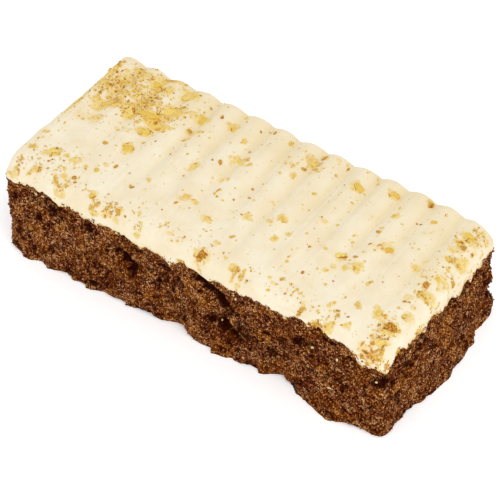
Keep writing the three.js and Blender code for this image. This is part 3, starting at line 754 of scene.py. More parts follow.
def icing_material():
    """Ivory with a slow mottle, turned darker and yellower by the groove value, which is painted shade along
    the grooves and a tint towards the back. Soft spots, wider where the stain value is high, are crumbs of
    walnut
    just under the surface: each cell of a pattern has a luck, and a cell lucky enough shows a spot. Light
    scatters a little inside."""
    material, tree, place = new_material("cream_cheese_icing")
    names = ("stain", "groove", "nut", "skin")
    stain, groove, nut, skin = (add(tree, "Attribute", out="Fac", attribute_name=n) for n in names)
    mottle = add(tree, "TexNoise", {"Vector": place, "Scale": 1 / MOTTLE_SIZE, "Detail": 3.0}, out="Fac")
    ivory = add(tree, "ValToRGB", (mottle,), IVORY, out=0)
    colour = add(tree, "Mix", {0: groove, 6: ivory, 7: linear(GROOVE_SHADE_TINT)}, out=2, data_type="RGBA")
    wobble = add(tree, "TexNoise", {"Vector": place, "Scale": 1 / WOBBLE_SIZE, "Detail": 2.0}, out="Color")
    shift = add(tree, "VectorMath", {0: wobble, "Scale": SPOT_BEND}, out=0, operation="SCALE")
    bent = add(tree, "VectorMath", (place, shift), out=0, operation="ADD")
    fine = add(tree, "TexNoise", {"Vector": place, "Scale": 1 / NUT_GRAIN, "Detail": 3.0}, out="Fac")
    flesh, brown = (add(tree, "ValToRGB", (fine,), tones, out=0) for tones in (NUT_FLESH, NUT_SKIN))
    cover = add(tree, "MapRange", (nut, 0.0, 1.0, 0.0, 0.92), out=0)
    colour = add(tree, "Mix", {0: cover, 6: colour, 7: flesh}, out=2, data_type="RGBA")
    for size, gain, needed, soft, strength, tint in ICING_SPOTS:
        spot = add(tree, "TexVoronoi", {"Vector": bent, "Scale": 1 / (size * MM), "Randomness": 1.0}).outputs
        luck = add(tree, "SeparateColor", (spot["Color"],), out="Green")
        lucky = add(tree, "Math", (stain, gain, luck), out=0, operation="MULTIPLY_ADD")
        radius = add(tree, "MapRange", (lucky, needed, 1.3, 0.0, 0.6), out=0)
        reach = add(tree, "Math", (radius, spot["Distance"]), out=0, operation="SUBTRACT")
        cover = add(tree, "MapRange", (reach, -0.02, soft, 0.0, strength), out=0)
        colour = add(tree, "Mix", {0: cover, 6: colour, 7: linear(tint)}, out=2, data_type="RGBA")
    granular = add(tree, "Math", (fine, 1.2, skin), out=0, operation="MULTIPLY_ADD")
    cover = add(tree, "MapRange", (granular, 0.9, 1.2, 0.0, 0.94), out=0)
    colour = add(tree, "Mix", {0: cover, 6: colour, 7: brown}, out=2, data_type="RGBA")
    along = add(tree, "Mapping", {"Vector": place, "Scale": (1.0, 0.08, 1.0)}, out=0)
    drag = add(tree, "TexNoise", {"Vector": along, "Scale": 1 / ICING_DRAG, "Detail": 2.0}, out="Fac")
    relief = {"Strength": 0.3, "Distance": 0.12 * MM, "Height": drag}
    shader = add(tree, "BsdfPrincipled", {
        "Base Color": colour, "Roughness": 0.55, "IOR": 1.45, "Specular IOR Level": 0.3,
        "Subsurface Weight": 0.2, "Subsurface Radius": (1.0, 0.8, 0.55), "Subsurface Scale": 1.0 * MM,
        "Normal": add(tree, "Bump", relief, out="Normal"),
    }, out="BSDF")
    add(tree, "OutputMaterial", {"Surface": shader})
    return material


icing_finish = icing_material()
print(icing_finish.name, len(icing_finish.node_tree.nodes), "nodes")

# %% [markdown]
# The largest pieces lie where the real bar has them: their places were read off enlarged crops of
# the picture. Finer ones come in handfuls, each with a middle, a spread and a count, drawn as in the CAD
# model. Specks too small for the solids are dusted on afterwards.

# %% Places of the walnut pieces
# The largest pieces: x, y, length, width and turn in radians
CHUNKS = np.array([
    (7.2, 20.4, 6.2, 3.6, -0.5), (41.0, 4.4, 4.6, 3.4, 0.3), (-39.5, 9.6, 5.6, 3.0, 0.2),
    (-45.0, 9.2, 5.0, 3.0, -0.3), (-45.5, 21.6, 4.4, 3.2, 0.9), (-34.8, 22.6, 4.0, 2.6, 1.3),
    (-35.6, 15.0, 3.8, 3.0, 0.4), (-26.4, 17.0, 4.4, 3.0, -0.4), (-18.2, 19.2, 3.2, 2.6, 0.7),
    (-9.4, 9.8, 3.8, 2.8, 0.8), (-18.0, 1.2, 3.2, 2.2, 1.2), (-36.8, 4.6, 3.6, 2.4, 0.5),
    (-36.4, -3.8, 3.0, 2.6, 0.1), (22.4, 18.8, 3.4, 2.6, -0.6), (31.6, 22.2, 3.2, 2.0, 0.0),
    (36.6, 15.2, 2.2, 2.0, 0.2), (32.4, -4.8, 3.4, 2.4, 0.3), (38.4, -6.0, 2.8, 2.0, -0.9),
    (-52.2, -16.8, 3.8, 2.4, 0.8), (-45.2, -16.0, 2.8, 2.2, 0.5), (-3.6, -14.0, 3.0, 1.8, -0.3),
    (2.8, -24.4, 3.4, 2.8, 0.4), (51.4, -16.2, 3.8, 2.4, -0.5), (56.4, -19.2, 3.6, 3.0, 1.1),
    (55.6, 19.6, 3.4, 2.4, 0.3), (56.6, -23.6, 3.0, 2.4, 0.2),
])
# Which of them are brown all through, by their number in the list
BROWN_CHUNKS = (21, 23)
# Handfuls: middle in x and y, spread along and across, and number of pieces
HANDFULS = [
    (-52, 15, 5, 6, 20), (-41, 14, 6, 7, 16), (-50, -20, 7, 4, 8), (-8, 12, 40, 9, 12),
    (10, -14, 38, 8, 12), (56.5, 2, 1.6, 14, 10),
]
# Length in millimetres and width as a share of it, least and most; and how far the pieces stay from the edge
NUT_LONG, NUT_WIDE, NUT_MARGIN = (1.4, 2.4), (0.6, 0.95), 1.4


def crowd(first, second):
    """Two draws made one from -1 to 1 that is mostly near the middle."""
    return first + second - 1


def handful(number):
    """Pieces of one handful: sums of two draws crowd them to its middle; length and width are drawn too."""
    x, y, along, across, count = HANDFULS[number]
    i = np.arange(count)
    pick = [draw(i, number, k) for k in range(8)]
    long = ranged(NUT_LONG, pick[5] ** 2)
    wide = long * ranged(NUT_WIDE, pick[6])
    limit_x, limit_y = HALF_LENGTH - NUT_MARGIN - long / 2, HALF_WIDTH - NUT_MARGIN - long / 2
    px = np.clip(x + 2 * along * crowd(pick[1], pick[2]), -limit_x, limit_x)
    py = np.clip(y + 2 * across * crowd(pick[3], pick[4]), -limit_y, limit_y)
    return np.stack([px, py, long, wide, math.pi * pick[7]], -1)


def nut_pieces():
    """The largest pieces, then those of every handful."""
    return np.concatenate([CHUNKS, *(handful(n) for n in range(len(HANDFULS)))])


print(len(nut_pieces()), "pieces, the largest", CHUNKS[:, 2].max(), "mm long")

# %% [markdown]
# Much of the walnut is too fine or too deep in the icing to be a piece. It shows as soft spots, as drifts of
# crushed crumbs round the back left corner and on the right end, and as patches that the knife dragged over
# the lip. The drifts' places were read against a millimetre grid laid over the picture.

# %% Spots, drifts and patches on the lip
# Softer spots: x, y, size and share of brown. From half brown on, they are thin flakes that lie on top;
# the paler ones are seen through a film of icing
SOFT_SPOTS = np.array([
    (-54.7, 14.8, 4.6, 0.3), (-43.8, 18.9, 5.0, 0.2), (-50.5, 20.5, 4.2, 0.3), (-51.8, 7.3, 3.4, 0.1),
    (-51.3, 0.6, 3.0, 0.2), (-28.8, 16.8, 2.6, 0.0), (-27.6, 22.3, 1.8, 0.7), (-27.2, 11.8, 1.8, 0.7),
    (-25.9, 8.5, 2.4, 0.0), (-12.6, 5.6, 1.8, 0.8), (-8.8, 0.6, 2.2, 0.0), (-7.2, -3.0, 1.6, 0.7),
    (-9.7, -10.3, 2.4, 0.0), (-7.2, 23.9, 1.8, 0.6), (-1.8, 23.0, 2.0, 0.5), (1.2, 18.0, 2.4, 0.1),
    (6.6, 16.8, 1.6, 0.7), (1.6, 15.4, 1.8, 0.2), (9.1, 23.9, 2.2, 0.7), (12.8, 24.3, 2.2, 0.0),
    (16.2, 23.9, 1.6, 1.0), (22.0, 25.2, 2.4, 0.1), (41.6, 24.8, 3.0, 0.6), (36.2, 7.9, 1.6, 0.7),
    (36.6, 2.9, 1.2, 1.0), (36.2, -2.9, 1.6, 0.8), (32.8, -9.0, 1.8, 0.0), (43.8, -8.2, 1.6, 0.6),
    (50.8, 3.1, 2.6, 0.0), (47.4, 15.4, 2.4, 0.1), (58.3, -12.3, 3.0, 0.2), (58.6, -3.6, 3.6, 0.1),
    (57.0, 20.6, 3.4, 0.4), (58.8, 11.4, 3.0, 0.1), (24.9, -20.3, 1.8, 0.6), (23.7, -22.8, 2.4, 0.0),
    (5.8, -15.3, 1.6, 0.6), (3.7, -19.4, 2.0, 0.2), (-13.3, -13.8, 1.6, 0.7), (-26.5, -15.3, 1.4, 0.7),
    (-34.7, -11.5, 1.6, 0.7), (-36.8, -12.3, 2.2, 0.0), (-42.6, -5.7, 1.8, 0.6), (-41.3, -21.3, 1.8, 1.0),
    (-44.8, -24.4, 2.2, 0.5), (-52.2, -24.4, 3.2, 0.1), (-58.6, -11.0, 3.0, 0.1), (-24.3, -24.4, 2.4, 0.6),
    (9.9, -4.8, 2.4, 0.0), (7.0, 1.8, 1.8, 0.0), (4.9, -6.7, 2.6, 0.2), (22.4, 3.1, 1.8, 0.0),
    (14.1, 10.2, 1.6, 0.1), (16.2, 5.0, 1.0, 1.0), (-19.0, -22.0, 2.2, 0.1), (-8.0, -23.5, 2.0, 0.2),
    (12.0, -24.0, 2.6, 0.1), (34.0, -24.0, 3.0, 0.3), (40.0, -21.0, 2.2, 0.1), (47.0, -24.0, 2.6, 0.2),
])
# Drifts of crushed walnut: x, y, radius in x and in y, share of flesh and share of brown crumb
DRIFTS = np.array([
    (-54.0, 13.6, 3.0, 2.6, 0.6, 1.0), (-52.7, 18.5, 3.8, 3.0, 0.6, 0.55), (-47.9, 17.4, 1.4, 1.3, 0.6, 0.9),
    (-51.9, 23.1, 2.2, 1.5, 0.8, 0.5), (-58.4, 22.0, 1.2, 1.4, 0.5, 1.0), (-58.1, 18.0, 1.6, 3.0, 0.8, 0.5),
    (-58.0, 13.6, 1.7, 2.4, 0.8, 0.6), (-57.2, 10.7, 1.8, 1.3, 0.4, 1.0), (-50.2, 9.9, 2.0, 1.8, 0.6, 0.8),
    (-53.8, 6.9, 3.4, 1.9, 0.8, 0.6), (-51.1, 8.1, 2.4, 1.8, 0.9, 0.1), (-50.1, 13.3, 1.7, 1.5, 0.8, 0.0),
    (-53.2, 4.7, 1.9, 1.4, 0.7, 0.0), (-50.8, 1.2, 2.3, 2.3, 0.6, 0.2), (-54.7, -0.5, 2.2, 1.7, 0.35, 0.0),
    (-59.2, 3.0, 0.9, 6.0, 0.7, 0.3), (-44.0, 13.6, 2.5, 3.2, 0.6, 0.8), (-42.1, 12.6, 2.0, 2.0, 0.5, 0.6),
    (-43.6, 18.8, 2.4, 1.7, 0.6, 0.6), (-42.2, 20.4, 1.0, 0.9, 0.3, 1.0), (-40.9, 20.7, 2.0, 1.8, 0.95, 0.0),
    (-41.0, 16.7, 1.5, 1.0, 0.5, 0.9), (-45.4, 23.0, 2.3, 2.8, 0.6, 0.0), (-47.5, 22.2, 1.1, 1.1, 0.4, 0.9),
    (-43.4, 24.8, 1.8, 0.9, 0.6, 0.8), (-39.1, 25.2, 1.5, 0.8, 0.6, 0.6), (-34.5, 23.0, 2.8, 2.0, 0.9, 0.1),
    (-34.8, 14.9, 3.2, 2.5, 1.0, 0.1), (-33.3, 17.2, 1.9, 1.1, 0.6, 0.7), (-35.4, 11.5, 3.0, 1.5, 0.7, 0.8),
    (-36.8, 8.3, 4.4, 2.2, 1.0, 0.1), (-33.4, 8.4, 2.4, 1.8, 0.95, 0.1), (-44.6, 7.7, 2.9, 2.2, 0.9, 0.1),
    (-46.7, 8.0, 1.2, 0.9, 0.5, 0.9), (-43.6, 9.9, 2.6, 2.3, 0.7, 0.75), (-40.6, 10.6, 2.6, 1.8, 0.8, 0.1),
    (-34.7, 7.3, 0.9, 0.8, 0.5, 0.9), (-37.2, 3.8, 2.8, 1.5, 0.85, 0.35), (-41.3, 1.5, 1.6, 1.2, 0.35, 0.0),
    (-29.8, 16.9, 1.5, 1.4, 0.6, 0.4), (-26.1, 11.0, 2.0, 1.0, 0.6, 0.6), (-26.3, 17.3, 2.2, 1.6, 0.7, 0.1),
    (57.1, 18.7, 2.0, 1.6, 0.8, 0.1), (58.1, 20.2, 1.3, 1.5, 0.4, 0.8), (55.5, 16.4, 1.5, 1.3, 0.5, 0.7),
    (56.2, 14.1, 1.9, 1.5, 0.5, 0.0), (59.2, 11.4, 1.5, 2.6, 0.8, 0.0), (54.2, 5.3, 4.0, 5.0, 0.12, 0.0),
    (50.6, 2.8, 1.6, 1.4, 0.8, 0.0), (51.5, 6.2, 1.1, 1.0, 0.5, 0.1), (58.9, 2.8, 2.0, 1.4, 0.7, 0.2),
    (59.5, 1.0, 0.9, 1.2, 0.4, 0.8), (58.7, -4.4, 2.4, 1.9, 0.7, 0.4), (54.8, -7.4, 1.4, 1.1, 0.6, 0.1),
    (58.2, -13.0, 1.6, 1.4, 0.6, 0.5), (57.5, -9.7, 0.9, 0.8, 0.6, 0.2), (56.4, -19.0, 2.6, 2.2, 0.7, 0.6),
])
# Patches on the lip: place round the foot, height, width, tallness and share of brown
LIP_PATCHES = np.array([
    (FRONT + 2.5, 29.1, 3.5, 2.6, 0.3), (FRONT + 17.7, 29.1, 3.0, 2.8, 0.3),
    (FRONT + 29, 28.6, 3.0, 2.0, 0.4), (FRONT + 32.5, 29.6, 3.0, 2.0, 0.8),
    (FRONT + 36, 29.6, 2.0, 1.5, 0.3), (FRONT + 43.5, 28.6, 2.5, 1.5, 0.2),
    (FRONT + 57.5, 27.2, 2.4, 1.4, 0.8), (FRONT + 73.2, 29.2, 1.5, 1.5, 0.5),
    (FRONT + 75.3, 28.6, 1.2, 3.0, 0.2), (FRONT + 94, 28.8, 1.2, 1.2, 0.7),
    (FRONT + 99.5, 28.3, 3.5, 2.0, 0.9), (FRONT + 102.5, 29.2, 3.0, 2.8, 0.3),
    (FRONT + 115, 27.4, 7.0, 6.2, 1.0), (FRONT + 118, 28.0, 3.6, 4.4, 0.9),
    (RIGHT + 0.6, 25.6, 1.8, 3.4, 0.9), (RIGHT + 5.8, 26.8, 2.4, 2.0, 0.8),
    (RIGHT + 15.3, 26.5, 3.4, 2.0, 0.4), (RIGHT + 21, 28.4, 1.0, 1.4, 0.9),
    (RIGHT + 24.4, 27.3, 2.0, 1.6, 0.8), (RIGHT + 32.5, 28.0, 1.6, 2.0, 0.5),
    (RIGHT + 34.9, 26.3, 2.0, 1.5, 0.8), (RIGHT + 37, 29.5, 2.4, 3.0, 0.0),
    (RIGHT + 22, 30.0, 2.6, 2.6, 0.0), (RIGHT + 42.3, 29.6, 1.2, 0.8, 0.9),
    (RIGHT + 46, 26.8, 3.0, 2.0, 0.2), (RIGHT + 50, 28.0, 2.6, 2.0, 0.4), (BACK + 12, 28.0, 3.0, 2.0, 0.3),
    (BACK + 31, 29.0, 2.6, 2.0, 0.5), (BACK + 50, 27.6, 3.0, 2.4, 0.2), (BACK + 66, 28.5, 2.4, 2.0, 0.7),
    (BACK + 85, 28.8, 3.0, 2.0, 0.2), (BACK + 108, 29.0, 4.0, 3.0, 0.5), (LEFT + 6, 29.0, 4.0, 3.0, 0.4),
    (LEFT + 19, 28.4, 3.0, 2.4, 0.6), (LEFT + 33, 28.6, 3.0, 2.0, 0.3), (LEFT + 45, 28.0, 2.6, 2.0, 0.5),
])
# From this share of brown on, a spot gets a flake
FLAKE_BROWN = 0.5


def patches():
    """Every patch of walnut: the pieces, drawn a little wide, then the soft spots, whose aspect and turn
    are drawn too."""
    pieces = nut_pieces()
    brown = draw(np.arange(len(pieces)), 35) * 0.5
    grown = np.column_stack([pieces[:, :2], pieces[:, 2:4] * 1.3, pieces[:, 4], brown])
    x, y, size, share = SOFT_SPOTS.T
    i = np.arange(len(x))
    wide = size * (0.5 + 0.4 * draw(i, 36))
    spots = np.column_stack([x, y, size, wide, math.pi * draw(i, 37), np.minimum(share, 0.35)])
    return np.concatenate([grown, spots])


print(len(SOFT_SPOTS), "spots,", len(DRIFTS), "drifts and", len(LIP_PATCHES), "patches on the lip")

# %% [markdown]
# The top is a grid, closer at the edges. Its rim is joined to rings that come down the side to a ragged lip,
# where the knife dragged icing and crumb together, and then turn in under the layer.

# %% Icing surface
# Cells of the top along and across, and rows of the lip
TOP_CELLS, LIP_ROWS = (400, 178), 12
# The lip swells out and then turns in under the layer; a patch of walnut raises the icing a little
LIP_OUT, LIP_TUCK, PATCH_RISE = 0.3, 1.6, 0.12


def edge_crowded(half, cells):
    """Lines from -half to half, closer together near both ends: a line plus a cubic."""
    u = np.linspace(-1, 1, cells + 1)
    return half * (1.2 * u - 0.2 * u**3)


def icing_surface():
    """The top's points and faces, the numbers of its rim, and the rings from under the layer up the lip."""
    lines = [edge_crowded(half, cells) for half, cells in zip((HALF_LENGTH, HALF_WIDTH), TOP_CELLS)]
    x, y = np.meshgrid(*lines, indexing="ij")
    rx, ry, out_x, out_y, edge = round_corner(x, y)
    relief = wall_relief(rx, ry, seam(rx, ry)) * edge**2
    z = icing_top(rx, ry) + knife_marks(rx, ry) * (1 - 0.5 * edge)
    top = np.stack([rx + relief * out_x, ry + relief * out_y, z], -1)
    numbers = np.arange(x.size).reshape(x.shape)
    corners = numbers[:-1, :-1], numbers[1:, :-1], numbers[1:, 1:], numbers[:-1, 1:]
    grid = np.stack(corners, -1).reshape(-1, 4)
    rim = np.concatenate([numbers[:-1, 0], numbers[-1, :-1], numbers[:0:-1, -1], numbers[0, :0:-1]])
    px, py, ox, oy, pz, start = (value.ravel()[rim] for value in (rx, ry, out_x, out_y, z, relief))
    down = np.linspace(0, 1, LIP_ROWS + 1)[:0:-1, None]
    lip_z = pz + (np.minimum(lip_height(px, py), pz - 0.4) - pz) * down
    swell = LIP_OUT * np.sin(math.pi * np.clip(down, 0, 0.85)) ** 0.7
    daubs = 0.22 * lumps(px, py, lip_z, 1.9) + 0.12 * lumps(px, py, lip_z, 1.0)
    out = wall_relief(px, py, lip_z) * down + start * (1 - down) + swell + daubs * down
    lip = np.stack([px + out * ox, py + out * oy, lip_z], -1)
    tuck = lip[0] - np.stack([ox, oy, 0 * ox], -1) * LIP_TUCK + [0, 0, 0.3]
    shares = np.array(CAP_SHARES[::-1])[:, None, None]
    under = tuck * ([1, 1, 0] * shares + [0, 0, 1])
    rings = np.concatenate([under, tuck[None], lip])
    return top, grid, rim, rings


print("a top of", TOP_CELLS[0], "by", TOP_CELLS[1], "cells and a lip of", LIP_ROWS, "rows")

# %% [markdown]
# Walnut near the surface is painted by values on the points. Each patch is an ellipse with a wavering edge,
# and its brown skin lies to one side. Each drift is a bell curve broken up by soft lumps. At each point the
# strongest of them all counts.

# %% Walnut in the icing
def patch_mask(u, v, number, brown, wobble, fleck):
    """Shares of flesh and of brown skin in one patch, from the place in its ellipse, whose edge is at 1 and
    is moved by the wobble. The brown lies in a sector near the edge, broken up by the fleck."""
    away = np.hypot(u, v) + wobble
    inside = between(away, 1.15, 0.75) * (0.75 + 0.25 * between(fleck, -0.4, 0.4))
    side = np.cos(np.arctan2(v, u) - FULL_TURN * draw(number, 33))
    rim = inside * between(away + 0.5 * side, 0.7, 1.2) * between(fleck, -0.2, 0.3)
    return inside * (0.65 + 0.35 * draw(number, 34)), np.maximum(0.7 * rim, 0.85 * brown * inside)


def bells(zones, x, y):
    """Sum of bell curves: each zone's strength at its middle, fading with its radius in x and in y."""
    return sum(s * bell((x - a) / rx, (y - b) / ry) for a, b, rx, ry, s in zones)


def walnut_shares(points, side):
    """Shares of walnut flesh and of its brown skin at each point: the largest of all the drifts and patches,
    and of the fringe where the lip's edge has picked up crumb. Brown always lies in grains."""
    x, y, z = points.T
    place = place_of(x, y)
    wobble = 0.55 * lumps(x, y, z + 20, 1.5) + 0.45 * lumps(x, y, z + 25, 0.75)
    fleck = lumps(x, y, z + 31, 0.8)
    grain = between(fleck + 0.8 * lumps(x, y, z + 37, 1.5), -0.45, 0.45)
    nut, skin = 0 * x, 0 * x
    for px, py, wide, deep, flesh, brown in DRIFTS:
        near = bell((x - px) / wide, (y - py) / deep) * (1 - side)
        nut = np.maximum(nut, flesh * between(near + 0.4 * wobble, 0.25, 0.65))
        skin = np.maximum(skin, 0.7 * brown * grain * between(near + 0.3 * wobble, 0.2, 0.6))
    for number, (px, py, long, wide, turn, brown) in enumerate(patches()):
        c, s = math.cos(turn), math.sin(turn)
        u, v = (c * (x - px) + s * (y - py)) * 2 / long, (c * (y - py) - s * (x - px)) * 2 / wide
        flesh, bark = patch_mask(u, v, number, brown, wobble, fleck)
        nut, skin = np.maximum(nut, flesh * (1 - side)), np.maximum(skin, bark * (1 - side))
    inward = np.minimum(HALF_LENGTH - abs(x), HALF_WIDTH - abs(y))
    for number, (start, height, wide, tall, brown) in enumerate(LIP_PATCHES):
        u, v = way_round(start, place) * 2 / wide, (z - height) * 2 / tall
        far = 9 * between(inward, 2, 4)
        flesh, bark = patch_mask(u, v, number + 7, brown, wobble + far, fleck)
        nut, skin = np.maximum(nut, flesh), np.maximum(skin, bark * (0.35 + 0.75 * grain))
    fringe = side * between(z - lip_height(x, y), 1.2, 0.0)
    return np.maximum(nut, 0.7 * fringe), np.maximum(skin, 0.6 * fringe * between(fleck + wobble, -0.5, 0.3))


print(len(patches()), "patches of walnut on the top")

# %% [markdown]
# The other values are a stain where walnut oil and dust lie thick, and painted shade, darker and yellower,
# in the grooves, with a like tint towards the back. The icing is raised a little where walnut lies in it.

# %% The icing as a piece
# Where walnut oil and dust have stained the icing: x, y, radius in x and y, strength
STAINS = [
    (-50.5, 14, 9, 10, 0.75), (-40, 12.5, 8, 8, 0.7), (-52, -20, 9, 5, 0.35), (-59.5, 8, 1.5, 14, 0.6),
    (57, 2, 3.5, 22, 0.28), (8, 20, 6, 4, 0.4),
]
# Strength of the painted groove shade over a whole groove and along its bottom, and of its tint towards the
# back. The painted shade of a groove lies TINT_SHIFT to the left of its bottom, in millimetres
GROOVE_HAZE, GROOVE_LINE, BACK_TINT, TINT_SHIFT = 0.12, 0.6, 0.35, 0.45


def icing_values(points):
    """Values that the material reads: stain where crumbs lie thick, painted shade in the grooves below the
    crests with a tint towards the back, and walnut.
    """
    x, y, z = points.T
    side = between(z, icing_top(x, y) - 1.0, icing_top(x, y) - 3.5)
    stain = bells(STAINS, x, y) + 0.6 * side * between(lumps(x, y, 0 * x + 15, 5), -0.5, 0.3)
    groove = groove_share(x + TINT_SHIFT, y)
    nut, skin = walnut_shares(points, side)
    tint = (GROOVE_HAZE * groove + GROOVE_LINE * groove**4) * comb_strength(x, y)
    tint = tint + BACK_TINT * between(y, -5, 26)
    return {"stain": np.clip(stain, 0, 1), "groove": np.clip(tint, 0, 1), "nut": nut, "skin": skin}


top, grid, rim, rings = icing_surface()
start = top.shape[0] * top.shape[1]
numbers = start + np.arange(rings.shape[0] * rings.shape[1]).reshape(rings.shape[:2])
points = np.concatenate([top.reshape(-1, 3), rings.reshape(-1, 3), [rings[0].mean(0)]])
side = ring_faces(np.concatenate([numbers, rim[None]]))
faces = [grid, side, cap_faces(len(points) - 1, numbers[0], up=False)]
values = icing_values(points)
points[:, 2] += PATCH_RISE * values["nut"]
make_piece("cream_icing", points, faces, "icing", icing_finish, values)

# %% [markdown]
# ## Chopped walnuts
#
# A chopped walnut is a small block bounded by flat knife cuts, with a bit of brown skin left on some sides.
# A ball cut by planes is easy to compute: along each direction the surface is at the nearest plane. A grid
# of directions, rows by spokes, gives a closed shape with a few dozen faces, and one call makes hundreds.

# %% Chips as arrays
# How far out a knife cut lies, nearest and furthest, as a share of the ball; how far it tilts from upright;
# and the radius of the ball as a share of the chip's length
CUT_DEPTHS = (0.42, 0.85)
CUT_TILT = 0.8
CHIP_FILL = 0.68


def chips(centre, size, turn, brown, rows, spokes, cuts, seed):
    """Closed chips, all in one mesh: a ball's directions, each cut short by the nearest of a few drawn
    planes, scaled to each chip's length, width and thickness, turned about Z and moved to its centre.
    The first cut face keeps the skin; brown says how much of the rest is brown too."""
    latitude = (np.arange(1, rows + 1) / (rows + 1) - 0.5)[:, None] * math.pi
    spoke = np.arange(spokes) * 2 * math.pi / spokes
    level = np.cos(latitude)
    ring = np.stack(np.broadcast_arrays(level * np.cos(spoke), level * np.sin(spoke), np.sin(latitude)), -1)
    unit = np.concatenate([[[0, 0, -1]], ring.reshape(-1, 3), [[0, 0, 1]]])
    chip, cut = np.arange(len(centre))[:, None], np.arange(cuts)
    height, way = CUT_TILT * (2 * draw(chip, cut, seed) - 1), 2 * math.pi * draw(chip, cut, seed + 1)
    height[:, 0] = 0.5 * abs(height[:, 0])
    flat = np.sqrt(1 - height**2)
    normal = np.stack([flat * np.cos(way), flat * np.sin(way), height], -1)
    offset = ranged(CUT_DEPTHS, draw(chip, cut, seed + 2))
    facing = np.maximum(np.einsum("vk,nck->nvc", unit, normal), 0.05)
    reach = offset[:, None] / facing
    skin = (reach.argmin(-1) == 0) & (reach[..., 0] < 1)
    body = unit * np.minimum(1, reach.min(-1))[..., None] * size[:, None] * CHIP_FILL
    c, s = np.cos(turn)[:, None], np.sin(turn)[:, None]
    bx, by, bz = np.moveaxis(body, -1, 0)
    turned = np.stack([c * bx - s * by, s * bx + c * by, bz], -1)
    numbers = 1 + np.arange(rows * spokes).reshape(rows, spokes)
    first = (np.arange(len(centre)) * len(unit))[:, None, None]
    sets = [ring_faces(numbers), cap_faces(0, numbers[0], False), cap_faces(len(unit) - 1, numbers[-1], True)]
    faces = [(faces[None] + first).reshape(-1, faces.shape[1]) for faces in sets]
    tone = np.repeat(draw(np.arange(len(centre)), seed, 5), len(unit))
    skin = np.maximum(0.8 * skin, np.asarray(brown)[:, None])
    return (turned + centre[:, None]).reshape(-1, 3), faces, {"tone": tone, "skin": skin.ravel()}


_, sets, _ = chips(np.zeros((1, 3)), np.ones((1, 3)), np.zeros(1), np.zeros(1), 7, 12, 9, 1)
print("a chip of seven rows and twelve spokes has", sum(len(faces) for faces in sets), "faces")

# %% [markdown]
# Walnut flesh is pale straw yellow and a little oily, and its skin is reddish brown. Both are matt with a
# faint grain. A chip's tone picks its yellow, and its skin value how far brown covers it, with a ragged edge.

# %% Walnut material
CHIP_GRAIN = 0.5 * MM
WALNUT_FLESH = [(0.25, "#e0b346"), (0.5, "#ebca60"), (0.75, "#f2da86")]
WALNUT_SKIN = [(0.3, "#80440e"), (0.5, "#bd7c24"), (0.66, "#dda744")]


def walnut_material():
    """Flesh and skin ramps, moved by fine noise, mixed by the skin value."""
    material, tree, place = new_material("chopped_walnut")
    tone, skin = (add(tree, "Attribute", out="Fac", attribute_name=n) for n in ("tone", "skin"))
    noise = add(tree, "TexNoise", {"Vector": place, "Scale": 1 / CHIP_GRAIN, "Detail": 3.0}, out="Fac")
    shade = add(tree, "Mix", {0: 0.6, 2: tone, 3: noise}, out=0)
    flesh = add(tree, "ValToRGB", (shade,), WALNUT_FLESH, out=0)
    brown = add(tree, "ValToRGB", (noise,), WALNUT_SKIN, out=0)
    ragged = add(tree, "Math", (noise, 1.2, skin), out=0, operation="MULTIPLY_ADD")
    cover = add(tree, "MapRange", (ragged, 0.68, 1.05, 0.0, 0.95), out=0)
    relief = {"Strength": 0.4, "Distance": 0.1 * MM, "Height": noise}
    shader = add(tree, "BsdfPrincipled", {
        "Base Color": add(tree, "Mix", {0: cover, 6: flesh, 7: brown}, out=2, data_type="RGBA"),
        "Roughness": 0.55, "IOR": 1.46, "Specular IOR Level": 0.2, "Subsurface Weight": 0.1,
        "Subsurface Radius": (1.0, 0.6, 0.25), "Subsurface Scale": 0.8 * MM,
        "Normal": add(tree, "Bump", relief, out="Normal"),
    }, out="BSDF")
    add(tree, "OutputMaterial", {"Surface": shader})
    return material


walnut_finish = walnut_material()
print(walnut_finish.name, len(walnut_finish.node_tree.nodes), "nodes")

# %% [markdown]
# The pieces are pressed into the icing, with their middle a little below its surface. The spots that are at
# least half brown get thin flakes, which lie on top.

# %% Walnut pieces
# Thickness of a piece as a share of its width, and the most that it can be, in millimetres; and how deep a
# piece is pressed in, as a share of its thickness
NUT_THICK, NUT_THICKEST, NUT_SUNK = 0.5, 1.3, 0.4


def on_icing(pieces, rise):
    """Centres and sizes of pieces pressed into the icing, their middle a share of their thickness above."""
    x, y, long, wide, turn = pieces.T
    thick = np.minimum(NUT_THICK * wide, NUT_THICKEST)
    return np.stack([x, y, icing_top(x, y) + rise * thick], -1), np.stack([long, wide, thick], -1), turn


pieces = nut_pieces()
brown = between(draw(np.arange(len(pieces)), 44), 0.8, 0.95)
brown[: len(CHUNKS)] = 0
brown[list(BROWN_CHUNKS)] = 0.9
points, faces, values = chips(*on_icing(pieces, -NUT_SUNK), brown, 7, 12, 9, 1)
make_piece("walnut_pieces", points, faces, "icing", walnut_finish, values, smooth=False)

x, y, size, share = SOFT_SPOTS[SOFT_SPOTS[:, 3] >= FLAKE_BROWN].T
number = np.arange(len(x))
flakes = np.stack([x, y, size, size * (0.45 + 0.2 * draw(number, 45)), math.pi * draw(number, 46)], -1)
points, faces, values = chips(*on_icing(flakes, 0.0), 0.5 * share, 5, 9, 7, 9)
make_piece("walnut_flakes", points, faces, "icing", walnut_finish, values, smooth=False)

# %% [markdown]
# ## Specks
#
# Chopping leaves a dust of specks of about a millimetre and less. They lie all over the icing, thickest in
# the drifts of the back left corner, along the front edge and on the right end. Each zone is a middle, a
# spread and a count, and each drift gets grains by its area and its share of brown.

# %% Specks of walnut
# Zones: middle in x and y, spread along and across, and number of specks
SPECK_ZONES = [
    (0, 0, 58, 25, 420), (-47, 14, 10, 8, 120), (-50, -20, 8, 4, 110), (5, -23, 52, 1.6, 190),
    (56, 0, 2.5, 22, 90), (-59, 8, 0.6, 12, 60),
]
# Length of a speck, least and most
SPECK_SIZE = (0.3, 1.1)
